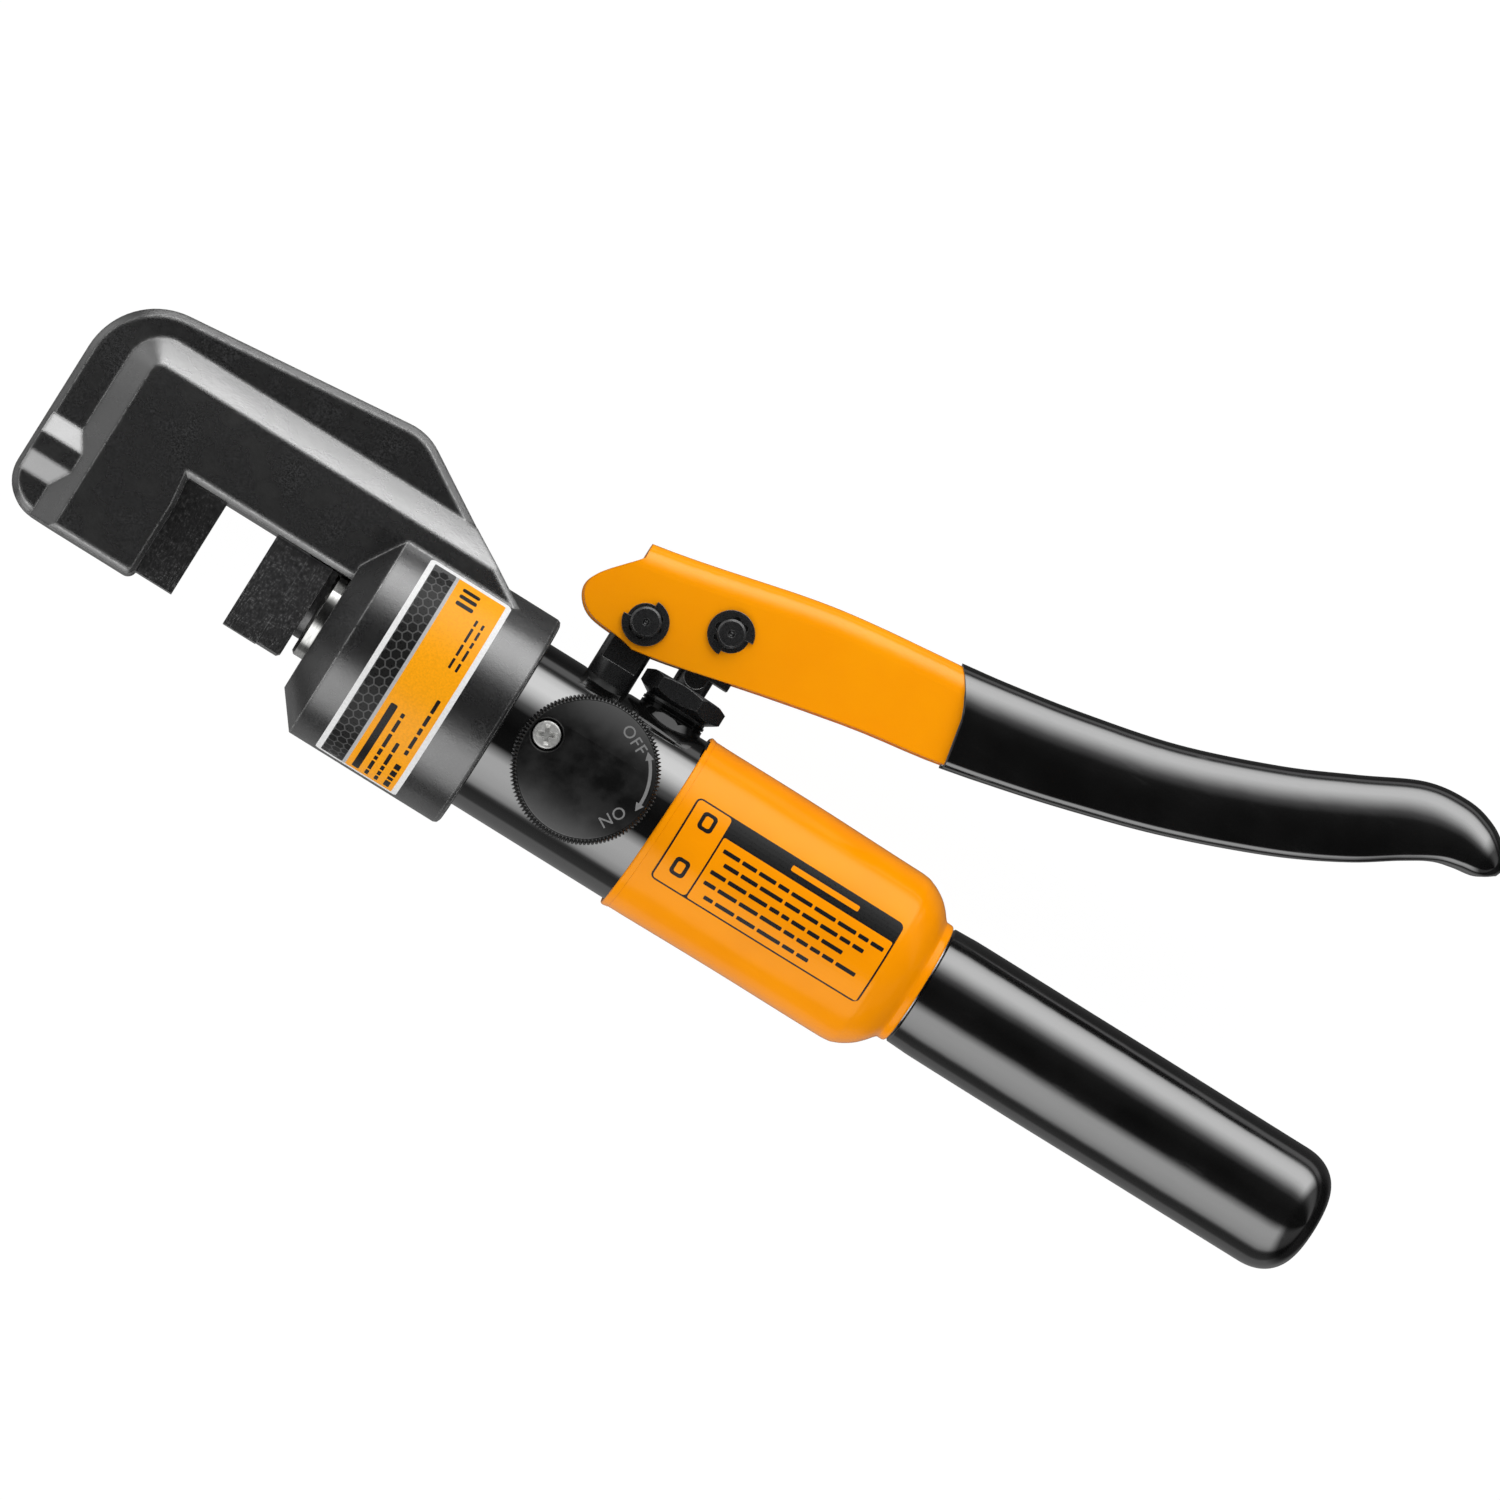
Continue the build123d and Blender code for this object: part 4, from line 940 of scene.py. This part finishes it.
def make_knob_screw():
    """Bright screw in the counterbore, its cross recess rough from use."""
    count = ROUND_STEPS
    profile = [(3.3, COUNTERBORE_FLOOR + 0.02), (3.6, COUNTERBORE_FLOOR + 0.3), (3.6, SCREW_TOP - 0.5),
               (3.45, SCREW_TOP - 0.15), (3.15, SCREW_TOP)]
    rim = [circle(SCREW_CENTRE, r, z, count) for r, z in profile]
    points, faces = skin(rim, cap_start=True, cap_end=False)
    outer = list(range(len(points) - count, len(points)))
    arm, half = 2.7, 0.7
    cross = [(arm, -half), (arm, half), (half, half), (half, arm), (-half, arm), (-half, half),
             (-arm, half), (-arm, -half), (-half, -half), (-half, -arm), (half, -arm), (half, -half)]
    spin = Matrix.Rotation(math.radians(24), 2)
    recess = len(points)
    sides = len(cross)
    for depth, scale in ((0.0, 1.0), (1.0, 0.62)):
        for corner in cross:
            x, y = spin @ Vector(corner) * scale
            points.append((SCREW_CENTRE.x + x, SCREW_CENTRE.y + y, SCREW_TOP - depth))
    fill_between(points, faces, outer, list(range(recess, recess + sides)))
    for k in range(sides):
        a, b = recess + k, recess + (k + 1) % sides
        faces.append((b, a, a + sides, b + sides))
    faces.append(tuple(range(recess + sides, recess + 2 * sides)))
    make_piece("knob_screw_head", points, faces, [SCREW_STEEL], "knob",
               ["knob_screw"], sharp=30)


# ------------------------------------------------------------------ pins
DARK_RING_INNER_R, DARK_RING_OUTER_R = 3.0, 4.95
DARK_RING_THICKNESS = 0.08
DARK_RING_BELOW_CLIPS = 0.86
DARK_RING_SIDES = 36


def make_clip_dark_rings():
    """Thin dark rings under the clips, so that the gaps between the clips' lugs show dark."""
    top = (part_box("pin_clips")[1].z - ORIGIN.z) / MM - DARK_RING_BELOW_CLIPS
    bottom = top - DARK_RING_THICKNESS
    section = [(DARK_RING_INNER_R, bottom), (DARK_RING_OUTER_R, bottom), (DARK_RING_OUTER_R, top), (DARK_RING_INNER_R, top)]
    for name in ("fulcrum_pin", "link_pin"):
        centre = (middle(name) - ORIGIN) / MM
        rings = [circle(centre, r, z, DARK_RING_SIDES) for r, z in section]
        points, faces = skin(rings, cap_start=False, cap_end=False, joined=True)
        make_piece(name + "_seat", points, faces, [MATERIALS["small_black_oxide"]], "lever")


# ------------------------------------------------------------------ lever grip
LEVER_GRIP_HALF = size_mm("lever_grip").z / 2
# Places on the back and underside of the dipped lever, in pairs, from its mouth to its tip.
LEVER_GRIP_SPANS = [
    ((67.0, 75.4), (76.4, 49.8)), ((80, 77.3), (87.5, 52.3)), ((100, 81.0), (107, 57.2)),
    ((125, 87.0), (133, 64.9)), ((150, 96.2), (159, 74.9)), ((168, 104.7), (176.5, 83.6)),
    ((184, 112.6), (188.5, 91.5)), ((196, 114.3), (196.5, 96.2)), ((204.5, 112.4), (202.0, 97.8)),
    ((210.4, 108.4), (207.8, 98.8)), ((213.2, 104.6), (212.0, 101.4)),
]
# Shares of the grip's length where its rounded nose starts, its groove ends and its mouth's bulge ends.
NOSE_START = 0.72
GROOVE_END = 0.62
MOUTH_END = 0.08
GROOVE_DEPTH = 6.0
MOUTH_BULGE = 2.3
LIP_SCALE = 0.93


def grip_section(top, bottom, half, groove):
    """Section across the dipped lever: a full-round back, flat sides and a slot along the underside."""
    up = top - bottom
    height = up.length
    up.normalize()
    low_r = min(2.3, 0.3 * half, 0.25 * height)
    back = min(1.6 * half, 0.70 * height)
    slot = 2.8 * min(1.0, half / 9.0)
    slot_edge = 0.9
    side = [(0.0, groove), (slot, groove), (slot, min(slot_edge, groove)), (slot + slot_edge, 0.0)]
    low_steps, back_steps = 6, 16
    for k in range(low_steps + 1):
        turn = math.pi / 2 * k / low_steps
        side.append((half - low_r + low_r * math.sin(turn), low_r - low_r * math.cos(turn)))
    for k in range(back_steps + 1):
        turn = math.pi / 2 * k / back_steps
        side.append((half * math.cos(turn), height - back + back * math.sin(turn)))
    outline = side + [(-z, s) for z, s in reversed(side[1:-1])]
    return [(bottom.x + up.x * s, bottom.y + up.y * s, z) for z, s in outline], up, height


def make_lever_grip():
    """Dipped grip over the rear of the lever."""
    steps = 10
    tops = through([a for a, b in LEVER_GRIP_SPANS], steps)
    bottoms = through([b for a, b in LEVER_GRIP_SPANS], steps)
    last = len(tops) - 1
    rings = []
    for number, (top, bottom) in enumerate(zip(tops, bottoms)):
        t = number / last
        nose = max(0.0, (t - NOSE_START) / (1 - NOSE_START))
        half = LEVER_GRIP_HALF * math.sqrt(max(1 - nose ** 2.6, 0.02))
        groove = GROOVE_DEPTH * min(1.0, max(0.0, (GROOVE_END - t) / 0.05)) + 0.02
        ring, up, height = grip_section(top, bottom, half, groove)
        if t < MOUTH_END:
            # The coat's edge bulges along the channel between the back and the underside.
            pushed = []
            for x, y, z in ring:
                share = ((x - bottom.x) * up.x + (y - bottom.y) * up.y) / height
                across = math.sin(math.pi * min(max(share, 0), 1))
                bulge = MOUTH_BULGE * across * (1 - t / MOUTH_END)
                pushed.append((x + up.y * bulge, y - up.x * bulge, z))
            ring = pushed
        rings.append(ring)
    # The coat's mouth is rounded over.
    centre = sum((Vector(p) for p in rings[0]), Vector()) / len(rings[0])
    lip = [tuple(centre + (Vector(p) - centre) * LIP_SCALE) for p in rings[0]]
    points, faces = skin([lip] + rings)
    make_piece("lever_grip_skin", points, faces, [MATERIALS["grip_black"]], "lever",
               ["lever_grip"], sharp=60)


# ------------------------------------------------------------------ build
make_camera()
make_world()
make_stage()
paint_nodes()
make_handle_grip()
make_sleeve()
make_sleeve_panel()
make_label()
make_knob()
make_knob_marks()
make_knob_screw()
make_clip_dark_rings()
make_lever_grip()
# The pump body mirrors neither the lever nor the sleeve: no yellow stripe lies on its black paint.
NODES["lever_channel"].visible_glossy = False
bpy.context.scene.view_settings.view_transform = "Standard"
